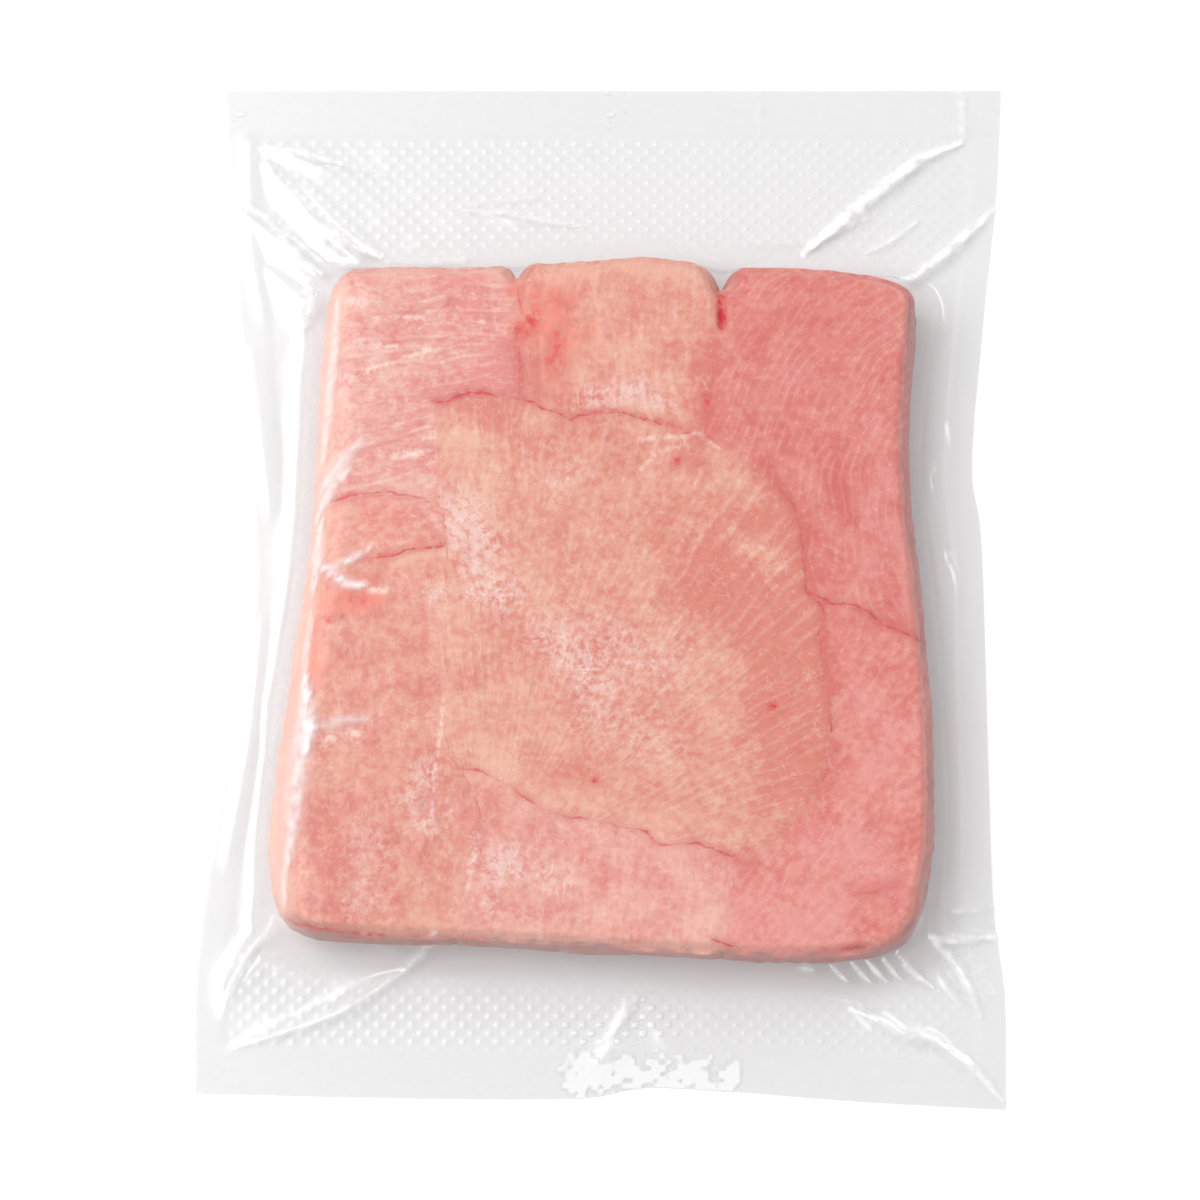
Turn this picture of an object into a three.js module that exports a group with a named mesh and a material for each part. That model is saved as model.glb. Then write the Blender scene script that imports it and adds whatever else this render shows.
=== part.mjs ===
// A sealed clear pouch drawn tightly over a flat pressed block of fish fillets.
// Millimetres, +Z up. The pouch lies on its flat underside with the block on top of it,
// its long side along Y, and its origin under the middle of the pouch's outline.
import * as THREE from 'three';

// Driving dimensions, in millimetres
const FILM = 0.7; // both films together where they lie flat, relief included
const BLOCK_HEIGHT = 22.4; // top of the fillets above the rest face
const CROWN = 1.3; // how much lower the block is at its rim than in its middle
const SWELL_ROOM = 0.8; // how far the middle stays below the top, as room for its swells
const WAIST_HEIGHT = 9.5; // where the block's side is widest
const SKIRT_DROP = 3.4; // how fast the film falls away from the block's side
const SKIRT_HEIGHT = 8.3; // where the film leaves the block's side
const WELD_START = 0.7; // share of the way to the pouch's edge where the film starts to lie flat
const POINTS_PER_SIDE = 40;

// The pouch's outline, side by side and clockwise from its back left corner.
// The welded sides are drawn in towards the middle, as the film is stretched over the block.
const POUCH_SIDES = {
  back: [[-99.7, 132.2], [102.1, 132.2]],
  right: [[102.1, 132.2], [100.2, 103], [96, 68], [92.4, 31], [94.4, 10], [94.9, -50],
    [95.4, -82], [97.7, -105], [97.3, -132.2]],
  front: [[97.3, -132.2], [60, -130.1], [20, -127], [-6, -129.3], [-101.6, -128.2]],
  left: [[-101.6, -128.2], [-101.8, -98], [-97.6, -62], [-92.4, -24], [-88.8, -4],
    [-89.2, 13], [-93.6, 62], [-97.3, 104], [-99.7, 132.2]],
};

// The block's outline where it is widest, from the middle of one round corner to the next.
const BLOCK_SIDES = {
  back: [[-69.6, 74.3], [-61, 77], [-36, 77], [-7, 78.4], [10, 79.8], [27, 77.6], [48, 77.2],
    [66, 75.4], [76.6, 71.6]],
  right: [[76.6, 71.6], [78, 66], [75.4, 38], [75.8, 16], [77.4, -4], [79.6, -32], [80, -62],
    [78.6, -80], [74.6, -92.2]],
  front: [[74.6, -92.2], [64, -96.6], [46, -96.4], [12, -93.8], [-26, -91.4], [-64, -90],
    [-79.4, -86.4]],
  left: [[-79.4, -86.4], [-84, -74], [-82.8, -50], [-78.6, -20], [-75.2, 8], [-73.6, 40],
    [-72.2, 66], [-69.6, 74.3]],
};

// Gaps between neighbouring fillets that open at the block's back side: place, depth, half width.
const NOTCHES = [
  { x: -23.4, depth: 6.5, halfWidth: 3.6 },
  { x: 28.6, depth: 10.5, halfWidth: 3.2 },
];
const BACK_SIDE = 70; // only what lies further back than this is pressed in by the gaps

// Broad swells and hollows of the block's top: centre, radius and height.
const SWELLS = [
  { x: -50, y: 55, radius: 24, height: -0.5 },
  { x: 2, y: 55, radius: 22, height: 0.5 },
  { x: 52, y: 40, radius: 26, height: -0.4 },
  { x: 8, y: -12, radius: 40, height: 0.8 },
  { x: -60, y: -8, radius: 18, height: -0.7 },
  { x: 66, y: -45, radius: 20, height: -0.5 },
  { x: -40, y: -66, radius: 24, height: 0.3 },
];

// Tucks of film that run from the block's corners to the pouch's: start, end, height, half width.
const TUCKS = [
  { from: [-70, 71], to: [-90, 118], height: 5.5, halfWidth: 4.5 },
  { from: [-58, 75], to: [-84, 112], height: 3.2, halfWidth: 3.6 },
  { from: [-71, 60], to: [-92, 92], height: 3.4, halfWidth: 3.6 },
  { from: [75, 70], to: [98, 100], height: 4.6, halfWidth: 4.2 },
  { from: [52, 75], to: [88, 116], height: 3.4, halfWidth: 3.8 },
  { from: [-77, -84], to: [-93, -108], height: 4.6, halfWidth: 4.2 },
  { from: [-44, -90], to: [-92, -113], height: 3.2, halfWidth: 3.8 },
  { from: [76, -88], to: [92, -106], height: 4.6, halfWidth: 4.2 },
  { from: [56, -96], to: [96, -126], height: 3.4, halfWidth: 4 },
];

// The block's side, from its widest line up to its top: how far in, and how high.
const SHOULDER = [
  { inset: 0, height: WAIST_HEIGHT },
  { inset: 0.5, height: 13.6 },
  { inset: 1.5, height: 17.2 },
  { inset: 3.2, height: 19.8 },
];
const TOP_RINGS = [0.93, 0.87, 0.76, 0.62, 0.46, 0.3, 0.14]; // shares of the top's outline
const SKIRT_RINGS = [0.05, 0.12, 0.22, 0.36, 0.52, 0.7, 0.86, 1]; // shares of the way to the edge

const sideNames = ['back', 'right', 'front', 'left'];

// One closed loop of evenly spaced points along four splined sides.
function loopOf(sides) {
  return sideNames.flatMap((name) => {
    const curve = new THREE.SplineCurve(sides[name].map(([x, y]) => new THREE.Vector2(x, y)));
    return curve.getSpacedPoints(POINTS_PER_SIDE).slice(0, POINTS_PER_SIDE);
  });
}

// The unit vector that points out of a clockwise loop at each of its points.
function outwardOf(loop) {
  return loop.map((_, i) => {
    const before = loop.at(i - 1);
    const after = loop[(i + 1) % loop.length];
    return new THREE.Vector2(before.y - after.y, after.x - before.x).normalize();
  });
}

// Presses the fillets' gaps into the back side of the block's outline.
function notched(loop) {
  return loop.map((point) => {
    if (point.y < BACK_SIDE) return point;
    const pressed = NOTCHES.reduce((sum, { x, depth, halfWidth }) => {
      const distance = (point.x - x) / halfWidth;
      return sum + depth * Math.exp(-distance * distance);
    }, 0);
    return new THREE.Vector2(point.x, point.y - pressed);
  });
}

// How high a tuck lifts the film at a point: highest at its start and gone at its end.
function tuckLift(tuck, point) {
  const from = new THREE.Vector2(...tuck.from);
  const along = new THREE.Vector2(...tuck.to).sub(from);
  const share = point.clone().sub(from).dot(along) / along.lengthSq();
  const nearest = from.clone().addScaledVector(along, THREE.MathUtils.clamp(share, 0, 1));
  const fade = 1 - THREE.MathUtils.smoothstep(share, 0, 1);
  const across = point.distanceTo(nearest) / tuck.halfWidth;
  return tuck.height * fade * Math.exp(-across * across);
}

// Height of the film between the block's side and the pouch's edge.
function skirtHeight(point, distance, share) {
  const drape = (SKIRT_HEIGHT - FILM) * Math.exp(-distance / SKIRT_DROP);
  const tucks = TUCKS.reduce((most, tuck) => Math.max(most, tuckLift(tuck, point)), 0);
  const flat = 1 - THREE.MathUtils.smoothstep(share, WELD_START, 1);
  return FILM + flat * Math.max(drape, tucks * Math.min(1, distance / SKIRT_DROP));
}

// Height of the block's top, where share is 1 at its rim and 0 in its middle.
function topHeight(point, share) {
  const swell = SWELLS.reduce((sum, { x, y, radius, height }) => {
    const distance = Math.hypot(point.x - x, point.y - y) / radius;
    return sum + height * Math.exp(-distance * distance);
  }, 0);
  return BLOCK_HEIGHT - SWELL_ROOM - CROWN * share ** 4 + swell;
}

function sealedPouch() {
  const edge = loopOf(POUCH_SIDES);
  const side = notched(loopOf(BLOCK_SIDES));
  const outward = outwardOf(side);
  const rings = []; // from the underside's rim, over the top, to the middle of the block
  rings.push(edge.map((point) => new THREE.Vector3(point.x, point.y, 0)));

  for (const share of [...SKIRT_RINGS].reverse()) {
    rings.push(side.map((point, i) => {
      const spot = point.clone().lerp(edge[i], share);
      return new THREE.Vector3(spot.x, spot.y, skirtHeight(spot, spot.distanceTo(point), share));
    }));
  }
  for (const { inset, height } of SHOULDER) {
    rings.push(side.map((point, i) => {
      const spot = point.clone().addScaledVector(outward[i], -inset);
      return new THREE.Vector3(spot.x, spot.y, height);
    }));
  }
  const rim = rings.at(-1);
  const middle = rim.reduce((sum, point) => sum.add(point), new THREE.Vector3())
    .divideScalar(rim.length);
  for (const share of TOP_RINGS) {
    rings.push(rim.map((point) => {
      const spot = middle.clone().lerp(point, share);
      return spot.setZ(topHeight(spot, share));
    }));
  }
  const top = middle.clone().setZ(topHeight(middle, 0));
  return closedShell(rings, new THREE.Vector3(middle.x, middle.y, 0), top);
}

// Joins rings of equally many points into a closed surface with a point at either end.
function closedShell(rings, first, last) {
  const count = rings[0].length;
  const points = [...rings.flat(), first, last];
  const [firstIndex, lastIndex] = [points.length - 2, points.length - 1];
  const faces = [];
  for (let i = 0; i < count; i += 1) {
    const next = (i + 1) % count;
    faces.push(firstIndex, i, next);
    for (let ring = 0; ring < rings.length - 1; ring += 1) {
      const [a, b] = [ring * count + i, ring * count + next];
      faces.push(a, a + count, b, b, a + count, b + count);
    }
    const inner = (rings.length - 1) * count;
    faces.push(inner + i, lastIndex, inner + next);
  }
  const geometry = new THREE.BufferGeometry();
  geometry.setAttribute('position',
    new THREE.Float32BufferAttribute(points.flatMap((point) => point.toArray()), 3));
  geometry.setIndex(faces);
  geometry.computeVertexNormals();
  return geometry;
}

const clearFilm = new THREE.MeshStandardMaterial({ color: 0xe8a296, roughness: 0.22, metalness: 0 });
const pouch = new THREE.Mesh(sealedPouch(), clearFilm);
pouch.name = 'sealed_pouch';

const group = new THREE.Group();
group.add(pouch);

export default group;
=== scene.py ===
"""Looks of a clear pouch drawn tightly over a flat pressed block of salmon fillets."""

import logging
import math
from dataclasses import dataclass, field
from enum import Enum

import bpy
import numpy as np
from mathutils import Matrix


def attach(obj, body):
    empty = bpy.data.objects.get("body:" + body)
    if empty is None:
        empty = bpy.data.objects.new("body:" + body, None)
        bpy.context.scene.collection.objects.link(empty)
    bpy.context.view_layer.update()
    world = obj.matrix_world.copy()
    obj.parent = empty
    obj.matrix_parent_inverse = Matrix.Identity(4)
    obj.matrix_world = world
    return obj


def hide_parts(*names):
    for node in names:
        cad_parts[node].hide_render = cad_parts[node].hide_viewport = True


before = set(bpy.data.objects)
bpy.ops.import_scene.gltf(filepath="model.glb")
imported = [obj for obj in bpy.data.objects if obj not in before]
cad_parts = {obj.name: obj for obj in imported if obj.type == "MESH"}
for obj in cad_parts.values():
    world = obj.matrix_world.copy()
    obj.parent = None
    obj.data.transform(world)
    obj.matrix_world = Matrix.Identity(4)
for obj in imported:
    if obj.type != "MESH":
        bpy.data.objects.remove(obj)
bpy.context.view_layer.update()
BODY = "root"
POUCH_NODE = "sealed_pouch"
MM = 0.001

Path = tuple[tuple[float, float], ...]
Colour = tuple[float, float, float, float]

logging.basicConfig(level=logging.INFO, format="%(message)s")
log = logging.getLogger("pack")


def paint(red: float, green: float, blue: float) -> Colour:
    """Turns a display colour into a light value.

    Args:
        red: red part, 0 to 255.
        green: green part, 0 to 255.
        blue: blue part, 0 to 255.

    Returns:
        The colour as shaders take it.
    """
    def light(part: float) -> float:
        """Undoes the display curve of one part."""
        share = part / 255
        return share / 12.92 if share <= 0.04045 else ((share + 0.055) / 1.055) ** 2.4

    return light(red), light(green), light(blue), 1.0


# ---------------------------------------------------------------- plain geometry, in millimetres


def spline(points: Path, step: float, closed: bool = False) -> np.ndarray:
    """Runs a smooth curve through points.

    Args:
        points: the points, in order.
        step: about how far apart the curve's samples are.
        closed: whether the curve comes back to its first point.

    Returns:
        The samples, one row each, without a repeated last point on a closed curve.
    """
    knots = np.array(points, float)
    if closed:
        knots = np.vstack([knots[-1:], knots, knots[:2]])
    else:
        knots = np.vstack([2 * knots[0] - knots[1], knots, 2 * knots[-1] - knots[-2]])
    samples = []
    for before, start, end, after in zip(knots, knots[1:], knots[2:], knots[3:]):
        count = max(1, round(float(np.linalg.norm(end - start)) / step))
        share = (np.arange(count) / count)[:, None]
        samples.append(0.5 * (
            2 * start
            + (end - before) * share
            + (2 * before - 5 * start + 4 * end - after) * share ** 2
            + (3 * start - before - 3 * end + after) * share ** 3
        ))
    if not closed:
        samples.append(knots[-2:-1])
    return np.vstack(samples)


@dataclass
class Nearness:
    """How spots lie to a line: distance, side, share of the way along it, and the line's normal there."""

    distance: np.ndarray
    left: np.ndarray
    share: np.ndarray
    normal: np.ndarray

    @property
    def outward(self) -> np.ndarray:
        """The distance, below 0 for spots to the right, which is inside a clockwise outline."""
        return np.where(self.left, self.distance, -self.distance)


def nearness(line: np.ndarray, spots: np.ndarray, closed: bool = False) -> Nearness:
    """Measures spots against a line.

    Args:
        line: the line's points, one row each.
        spots: the spots, one row each.
        closed: whether the line comes back to its first point.

    Returns:
        The nearness of every spot. The normal points to the left of the line's direction.
    """
    ends = np.roll(line, -1, axis=0) if closed else line[1:]
    starts = line if closed else line[:-1]
    lengths = np.linalg.norm(ends - starts, axis=1)
    passed = np.concatenate([[0], np.cumsum(lengths)])
    best = np.full(len(spots), np.inf)
    where = np.zeros(len(spots), int)
    within = np.zeros(len(spots))
    for index, (start, end, length) in enumerate(zip(starts, ends, lengths)):
        along = np.clip(((spots - start) @ (end - start)) / max(length ** 2, 1e-9), 0, 1)
        apart = spots - start - along[:, None] * (end - start)
        squared = np.einsum("ij,ij->i", apart, apart)
        closer = squared < best
        best[closer] = squared[closer]
        where[closer] = index
        within[closer] = along[closer]
    share = (passed[where] + within * lengths[where]) / max(passed[-1], 1e-9)
    run = (ends - starts) / np.maximum(lengths, 1e-9)[:, None]
    flat = np.column_stack([-run[:, 1], run[:, 0]])
    if closed:
        corner = flat + np.roll(flat, 1, axis=0)
        following = (where + 1) % len(starts)
    else:
        corner = np.vstack([flat, flat[-1:]])
        following = where + 1
    normal = corner[where] * (1 - within)[:, None] + corner[following] * within[:, None]
    normal /= np.maximum(np.linalg.norm(normal, axis=1), 1e-9)[:, None]
    foot = starts[where] + within[:, None] * (ends - starts)[where]
    left = np.einsum("ij,ij->i", spots - foot, normal) > 0
    return Nearness(np.sqrt(best), left, share, normal)


def close_to(line: np.ndarray, spots: np.ndarray, reach: float) -> np.ndarray:
    """Picks the spots that can't be far from a line.

    Args:
        line: the line's points.
        spots: the spots.
        reach: how far they may be from the line's box.

    Returns:
        One truth value for each spot.
    """
    low, high = line.min(axis=0) - reach, line.max(axis=0) + reach
    return np.all((spots > low) & (spots < high), axis=1)


def smooth(value: np.ndarray, low: float, high: float) -> np.ndarray:
    """Rises from 0 at low to 1 at high, gently at both ends.

    Args:
        value: the values.
        low: where the rise starts.
        high: where it ends, which may be below low.

    Returns:
        The risen values.
    """
    share = np.clip((value - low) / (high - low), 0, 1)
    return share * share * (3 - 2 * share)


class Unevenness:
    """Seeded soft noise in space, from -1 to 1."""

    SIZE = 32

    def __init__(self, seed: int) -> None:
        """Draws the noise's lattice.

        Args:
            seed: the seed of its random values.
        """
        self.lattice = np.random.default_rng(seed).uniform(-1, 1, (self.SIZE,) * 3)

    def at(self, spots: np.ndarray, scale: float, stretch: tuple = (1, 1, 1)) -> np.ndarray:
        """Reads the noise.

        Args:
            spots: the spots, with three columns.
            scale: the size of its lumps.
            stretch: how many times longer the lumps are along each axis.

        Returns:
            The noise at each spot.
        """
        place = spots / (scale * np.array(stretch, float)) + 97.3
        corner = np.floor(place).astype(int)
        part = place - corner
        part = part * part * (3 - 2 * part)
        total = np.zeros(len(spots))
        for offset in np.ndindex(2, 2, 2):
            weight = np.prod(np.where(offset, part, 1 - part), axis=1)
            i, j, k = ((corner + offset) % self.SIZE).T
            total += weight * self.lattice[i, j, k]
        return total


# ---------------------------------------------------------------- materials


class Signal:
    """A node's output that takes part in arithmetic."""

    def __init__(self, surface: "Surface", socket: bpy.types.NodeSocket) -> None:
        """Keeps the output and the surface it belongs to."""
        self.surface = surface
        self.socket = socket

    def _math(self, operation: str, *values: "Signal | float") -> "Signal":
        """Adds one Math node.

        Args:
            operation: what it does.
            values: what it does that to.

        Returns:
            Its result.
        """
        return self.surface.node("ShaderNodeMath", {"operation": operation}, dict(enumerate(values)))

    def __add__(self, other: "Signal | float") -> "Signal":
        """Adds."""
        return self._math("ADD", self, other)

    def __radd__(self, other: float) -> "Signal":
        """Adds to a number."""
        return self._math("ADD", other, self)

    def __sub__(self, other: "Signal | float") -> "Signal":
        """Takes away."""
        return self._math("SUBTRACT", self, other)

    def __rsub__(self, other: float) -> "Signal":
        """Takes away from a number."""
        return self._math("SUBTRACT", other, self)

    def __mul__(self, other: "Signal | float") -> "Signal":
        """Multiplies."""
        return self._math("MULTIPLY", self, other)

    def __rmul__(self, other: float) -> "Signal":
        """Multiplies a number."""
        return self._math("MULTIPLY", other, self)

    def __truediv__(self, other: "Signal | float") -> "Signal":
        """Divides."""
        return self._math("DIVIDE", self, other)

    def __abs__(self) -> "Signal":
        """Drops the sign."""
        return self._math("ABSOLUTE", self)

    def fraction(self) -> "Signal":
        """Keeps what is behind the decimal point."""
        return self._math("FRACT", self)

    def least(self, other: "Signal | float") -> "Signal":
        """Takes the smaller of two."""
        return self._math("MINIMUM", self, other)

    def limited(self) -> "Signal":
        """Keeps the value between 0 and 1."""
        return self._math("MINIMUM", self._math("MAXIMUM", self, 0.0), 1.0)

    def rise(self, low: float, high: float) -> "Signal":
        """Rises gently from 0 at low to 1 at high.

        Args:
            low: where the rise starts.
            high: where it ends, which may be below low.

        Returns:
            The risen value.
        """
        return self.surface.node(
            "ShaderNodeMapRange",
            {"interpolation_type": "SMOOTHSTEP"},
            {"Value": self, "From Min": low, "From Max": high},
        )


class Surface:
    """A material and its nodes."""

    def __init__(self, name: str) -> None:
        """Makes an empty material.

        Args:
            name: the material's name.
        """
        self.material = bpy.data.materials.new(name)
        self.material.use_nodes = True
        self.tree = self.material.node_tree
        self.tree.nodes.clear()

    def node(
        self,
        kind: str,
        settings: dict | None = None,
        inputs: dict | None = None,
        output: int | str = 0,
    ) -> Signal:
        """Adds a node.

        Args:
            kind: the node's type.
            settings: its settings, made before its inputs are filled.
            inputs: a value or a signal for each input, by name or number.
            output: the output that is wanted.

        Returns:
            That output.
        """
        made = self.tree.nodes.new(kind)
        for name, value in (settings or {}).items():
            setattr(made, name, value)
        for key, value in (inputs or {}).items():
            if isinstance(value, Signal):
                self.tree.links.new(value.socket, made.inputs[key])
            else:
                made.inputs[key].default_value = value
        return Signal(self, made.outputs[output])

    def place(self) -> Signal:
        """The spot on the piece, in millimetres."""
        metres = self.node("ShaderNodeTexCoord", output="Object")
        return self.node("ShaderNodeVectorMath", {"operation": "SCALE"}, {0: metres, "Scale": 1 / MM})

    def painted(self, name: str, output: str = "Fac") -> Signal:
        """A value, or with the output "Color" a colour, painted on the piece's points."""
        return self.node("ShaderNodeAttribute", {"attribute_name": name}, output=output)

    def noise(
        self, place: Signal, scale: float, detail: float = 1, rough: float = 0.5, flat: bool = False
    ) -> Signal:
        """Soft noise from 0 to 1.

        Args:
            place: where it is read.
            scale: lumps for each unit of length.
            detail: how many finer layers it has.
            rough: how strong the finer layers are.
            flat: whether it leaves out the place's height.

        Returns:
            The noise.
        """
        return self.node(
            "ShaderNodeTexNoise",
            {"noise_dimensions": "2D" if flat else "3D"},
            {"Vector": place, "Scale": scale, "Detail": detail, "Roughness": rough},
        )

    def vector(self, x: Signal | float, y: Signal | float, z: Signal | float) -> Signal:
        """Three values as one vector."""
        return self.node("ShaderNodeCombineXYZ", inputs={0: x, 1: y, 2: z})

    def mix(self, share: Signal | float, first: Signal | Colour, second: Signal | Colour) -> Signal:
        """Mixes two colours.

        Args:
            share: how much of the second shows.
            first: the first colour.
            second: the second colour.

        Returns:
            The mixed colour.
        """
        return self.node("ShaderNodeMix", {"data_type": "RGBA"}, {0: share, 6: first, 7: second}, 2)

    def finish(self, shader: Signal) -> bpy.types.Material:
        """Ends the material with a shader.

        Args:
            shader: the shader.

        Returns:
            The material.
        """
        end = self.tree.nodes.new("ShaderNodeOutputMaterial")
        self.tree.links.new(shader.socket, end.inputs["Surface"])
        return self.material


@dataclass(frozen=True)
class FleshFinish:
    """Pressed fish flesh, with its muscle bands, fibres, frost, blood and torn spots."""

    name: str
    lean: Colour
    pale: Colour
    band: float = 4.0  # from one white line between two muscles to the next, in millimetres
    band_show: float = 0.5
    streak_show: float = 0.5
    fibre_show: float = 1.0
    sway: float = 7.0  # how far the bands wander, in millimetres
    most_veil: float = 0.7
    most_amber: float = 0.7
    most_shade: float = 0.75
    most_white: float = 0.9
    white: Colour = paint(246, 222, 213)
    blood: Colour = paint(206, 30, 46)
    amber: Colour = paint(232, 128, 108)
    shade: Colour = paint(190, 84, 84)
    cut: Colour = paint(202, 56, 60)
    frost: Colour = paint(228, 194, 190)
    # painted shade for the front and right sides and for the top's right edge
    painted_shade_side: Colour = paint(160, 134, 133)
    # painted light for the left side
    painted_light_side: Colour = paint(244, 202, 188)

    def _bands(self, make: Surface, place: Signal, band: Signal) -> tuple[Signal, Signal]:
        """White lines between the muscles, and the darker flank beside each.

        Args:
            make: the surface.
            place: the spot.
            band: the distance across the muscles.

        Returns:
            Both masks.
        """
        wobble = make.noise(place, 0.06, 1) - 0.5
        phase = (band + wobble * self.sway) / self.band
        line = abs(phase.fraction() - 0.5).rise(0.24, 0.5)
        flank = abs((phase + 0.2).fraction() - 0.5).rise(0.3, 0.5)
        patchy = make.noise(place, 0.1).rise(0.36, 0.6)
        return line * patchy * self.band_show, flank * patchy * self.band_show

    def _squiggles(self, make: Surface, place: Signal, grain: Signal) -> tuple[Signal, Signal]:
        """Short curled white fibres, some along the grain and some across it, and dark hairlines.

        Args:
            make: the surface.
            place: the spot.
            grain: the spot along and across the grain.

        Returns:
            Both masks.
        """
        patches = make.noise(place, 0.17, 2, 0.6)
        swirl = make.noise(place, 0.34, 1)
        curls = abs(swirl - 0.5).rise(0.03, 0.008) * patches.rise(0.47, 0.6)
        fibres = abs(make.noise(grain, 0.6, 1, flat=True) - 0.5).rise(0.045, 0.012)
        fibres = fibres * patches.rise(0.52, 0.38)
        hairlines = abs(swirl - 0.4).rise(0.024, 0.008) * patches.rise(0.42, 0.56)
        return (curls + fibres).limited(), hairlines

    def material(self) -> bpy.types.Material:
        """Makes the material."""
        make = Surface(self.name)
        place = make.place()
        band = make.painted("band")
        run = make.painted("run")
        grain = make.vector(band, run * 0.3, 0.0)
        clouds = make.noise(place, 0.11, 2, 0.55)
        mottle = make.noise(place, 0.5, 3, 0.62)
        streaks = make.noise(grain, 0.8, 2, 0.6, flat=True)
        hairs = make.noise(grain, 2.0, 1, flat=True)
        speckle = make.noise(place, 1.9, 1, 0.6)
        frosty = make.painted("frost")

        paleness = (
            0.5
            + (clouds - 0.5) * 1.7
            + (mottle - 0.5) * 1.6
            + (streaks - 0.5) * (0.7 * self.streak_show)
            + (speckle - 0.5) * 0.5
            + make.painted("pale")
            - make.painted("lean")
        )
        lean = make.painted("lean_tone", "Color")
        colour = make.mix(paleness.limited(), lean, make.painted("pale_tone", "Color"))
        line, flank = self._bands(make, place, band)
        colour = make.mix(flank * 0.2, colour, self.shade)
        colour = make.mix(line * (0.2 + 0.4 * mottle), colour, self.white)
        whites = hairs.rise(0.55, 0.78) * mottle.rise(0.48, 0.62)
        colour = make.mix(whites * (0.3 * self.streak_show), colour, self.white)
        pinks = speckle.rise(0.56, 0.72) * mottle.rise(0.52, 0.4)
        colour = make.mix(pinks * (0.2 + 0.3 * frosty), colour, self.shade)
        flecks = speckle.rise(0.46, 0.32) * mottle.rise(0.45, 0.6)
        colour = make.mix((flecks * (0.14 + 0.6 * frosty)).limited(), colour, self.white)
        veil = (frosty * mottle.rise(0.36, 0.62)).limited()
        colour = make.mix(veil * self.most_veil, colour, self.frost)
        squiggles, hairlines = self._squiggles(make, place, grain)
        colour = make.mix(hairlines * (0.2 * self.fibre_show), colour, self.shade)
        colour = make.mix(squiggles * (0.15 * self.fibre_show + 0.34 * frosty).limited(), colour, self.white)

        for name in ("seam", "crease"):
            apart = abs(make.painted(name) + (mottle - 0.5) * 1.1)
            dark = make.painted(name + "_dark") * (0.35 + mottle.rise(0.35, 0.6))
            colour = make.mix(apart.rise(2.2, 0.2) * dark * 0.35, colour, self.shade)
            colour = make.mix((apart.rise(0.45, 0.15) * dark).limited() * 0.8, colour, self.cut)

        ragged = 0.15 + 1.1 * mottle.rise(0.36, 0.64)
        amber = (make.painted("amber") * ragged).limited()
        colour = make.mix(amber * self.most_amber, colour, self.amber)
        shade = (make.painted("shade") * ragged).limited()
        colour = make.mix(shade * self.most_shade, colour, self.shade)
        white = (make.painted("white") * ragged).limited()
        colour = make.mix(white * self.most_white, colour, self.white)
        # painted shade on the front and right sides and along the top's right edge
        colour = make.mix(make.painted("painted_shade_side"), colour, self.painted_shade_side)
        # painted light on the left side
        colour = make.mix(make.painted("painted_light_side"), colour, self.painted_light_side)
        colour = make.mix((make.painted("blood") * ragged).limited(), colour, self.blood)

        shader = make.node("ShaderNodeBsdfPrincipled", inputs={
            "Base Color": colour,
            "Roughness": 0.5,
            "Specular IOR Level": 0.35,
        })
        return make.finish(shader)


@dataclass(frozen=True)
class FilmFinish:
    """Clear pouch film: see-through, glossy at its folds, milky where it is welded or crinkled, and white
    where painted highlights and glare lie.
    """

    name: str
    clear: Colour = paint(251, 251, 251.2)
    # the white of milky welds and crinkles, and of painted highlights and glare
    milk_and_highlight: Colour = paint(246, 246, 247)
    rough: float = 0.2
    gloss: float = 1.8
    most_gloss: float = 0.13
    crinkled: bool = True

    def material(self) -> bpy.types.Material:
        """Makes the material."""
        make = Surface(self.name)
        mirror = make.node("ShaderNodeFresnel", inputs={"IOR": 1.47})
        see = make.node("ShaderNodeBsdfTransparent", inputs={"Color": self.clear})
        milk_and_highlight = make.node("ShaderNodeBsdfDiffuse", inputs={"Color": self.milk_and_highlight})
        # milky welds and crinkles, with painted highlights and painted glare, mixed in as white diffuse
        milk_and_highlight_share = make.painted("milk_and_highlight")
        if self.crinkled:
            milk_and_highlight_share = (milk_and_highlight_share * (1.7 * make.noise(make.place(), 0.32, 1) + 0.15)).limited()
        body = make.node("ShaderNodeMixShader", inputs={0: milk_and_highlight_share, 1: see, 2: milk_and_highlight})
        glossy = (mirror * self.gloss).least(self.most_gloss) * (1 - 0.75 * make.painted("cling"))
        mirrored = make.node("ShaderNodeBsdfAnisotropic", inputs={
            "Color": (1, 1, 1, 1),
            "Roughness": self.rough,
        })
        return make.finish(make.node("ShaderNodeMixShader", inputs={0: glossy, 1: body, 2: mirrored}))


@dataclass(frozen=True)
class FloorFinish:
    """Plain pale paper under the pack."""

    name: str = "pale_paper"
    tone: Colour = paint(247, 247, 247)

    def material(self) -> bpy.types.Material:
        """Makes the material."""
        make = Surface(self.name)
        grain = make.noise(make.place(), 0.5, 3)
        shader = make.node("ShaderNodeBsdfPrincipled", inputs={
            "Base Color": self.tone,
            "Roughness": 0.85 + 0.1 * grain,
            "Specular IOR Level": 0.1,
        })
        return make.finish(shader)


# ---------------------------------------------------------------- pieces


def alone() -> None:
    """Leaves edit mode and deselects everything."""
    if bpy.context.object and bpy.context.object.mode != "OBJECT":
        bpy.ops.object.mode_set(mode="OBJECT")
    bpy.ops.object.select_all(action="DESELECT")


def points_of(piece: bpy.types.Object) -> np.ndarray:
    """Reads where the piece's points are.

    Args:
        piece: the piece.

    Returns:
        The points in millimetres, one row each.
    """
    flat = np.empty(len(piece.data.vertices) * 3)
    piece.data.vertices.foreach_get("co", flat)
    return flat.reshape(-1, 3) / MM


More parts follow.
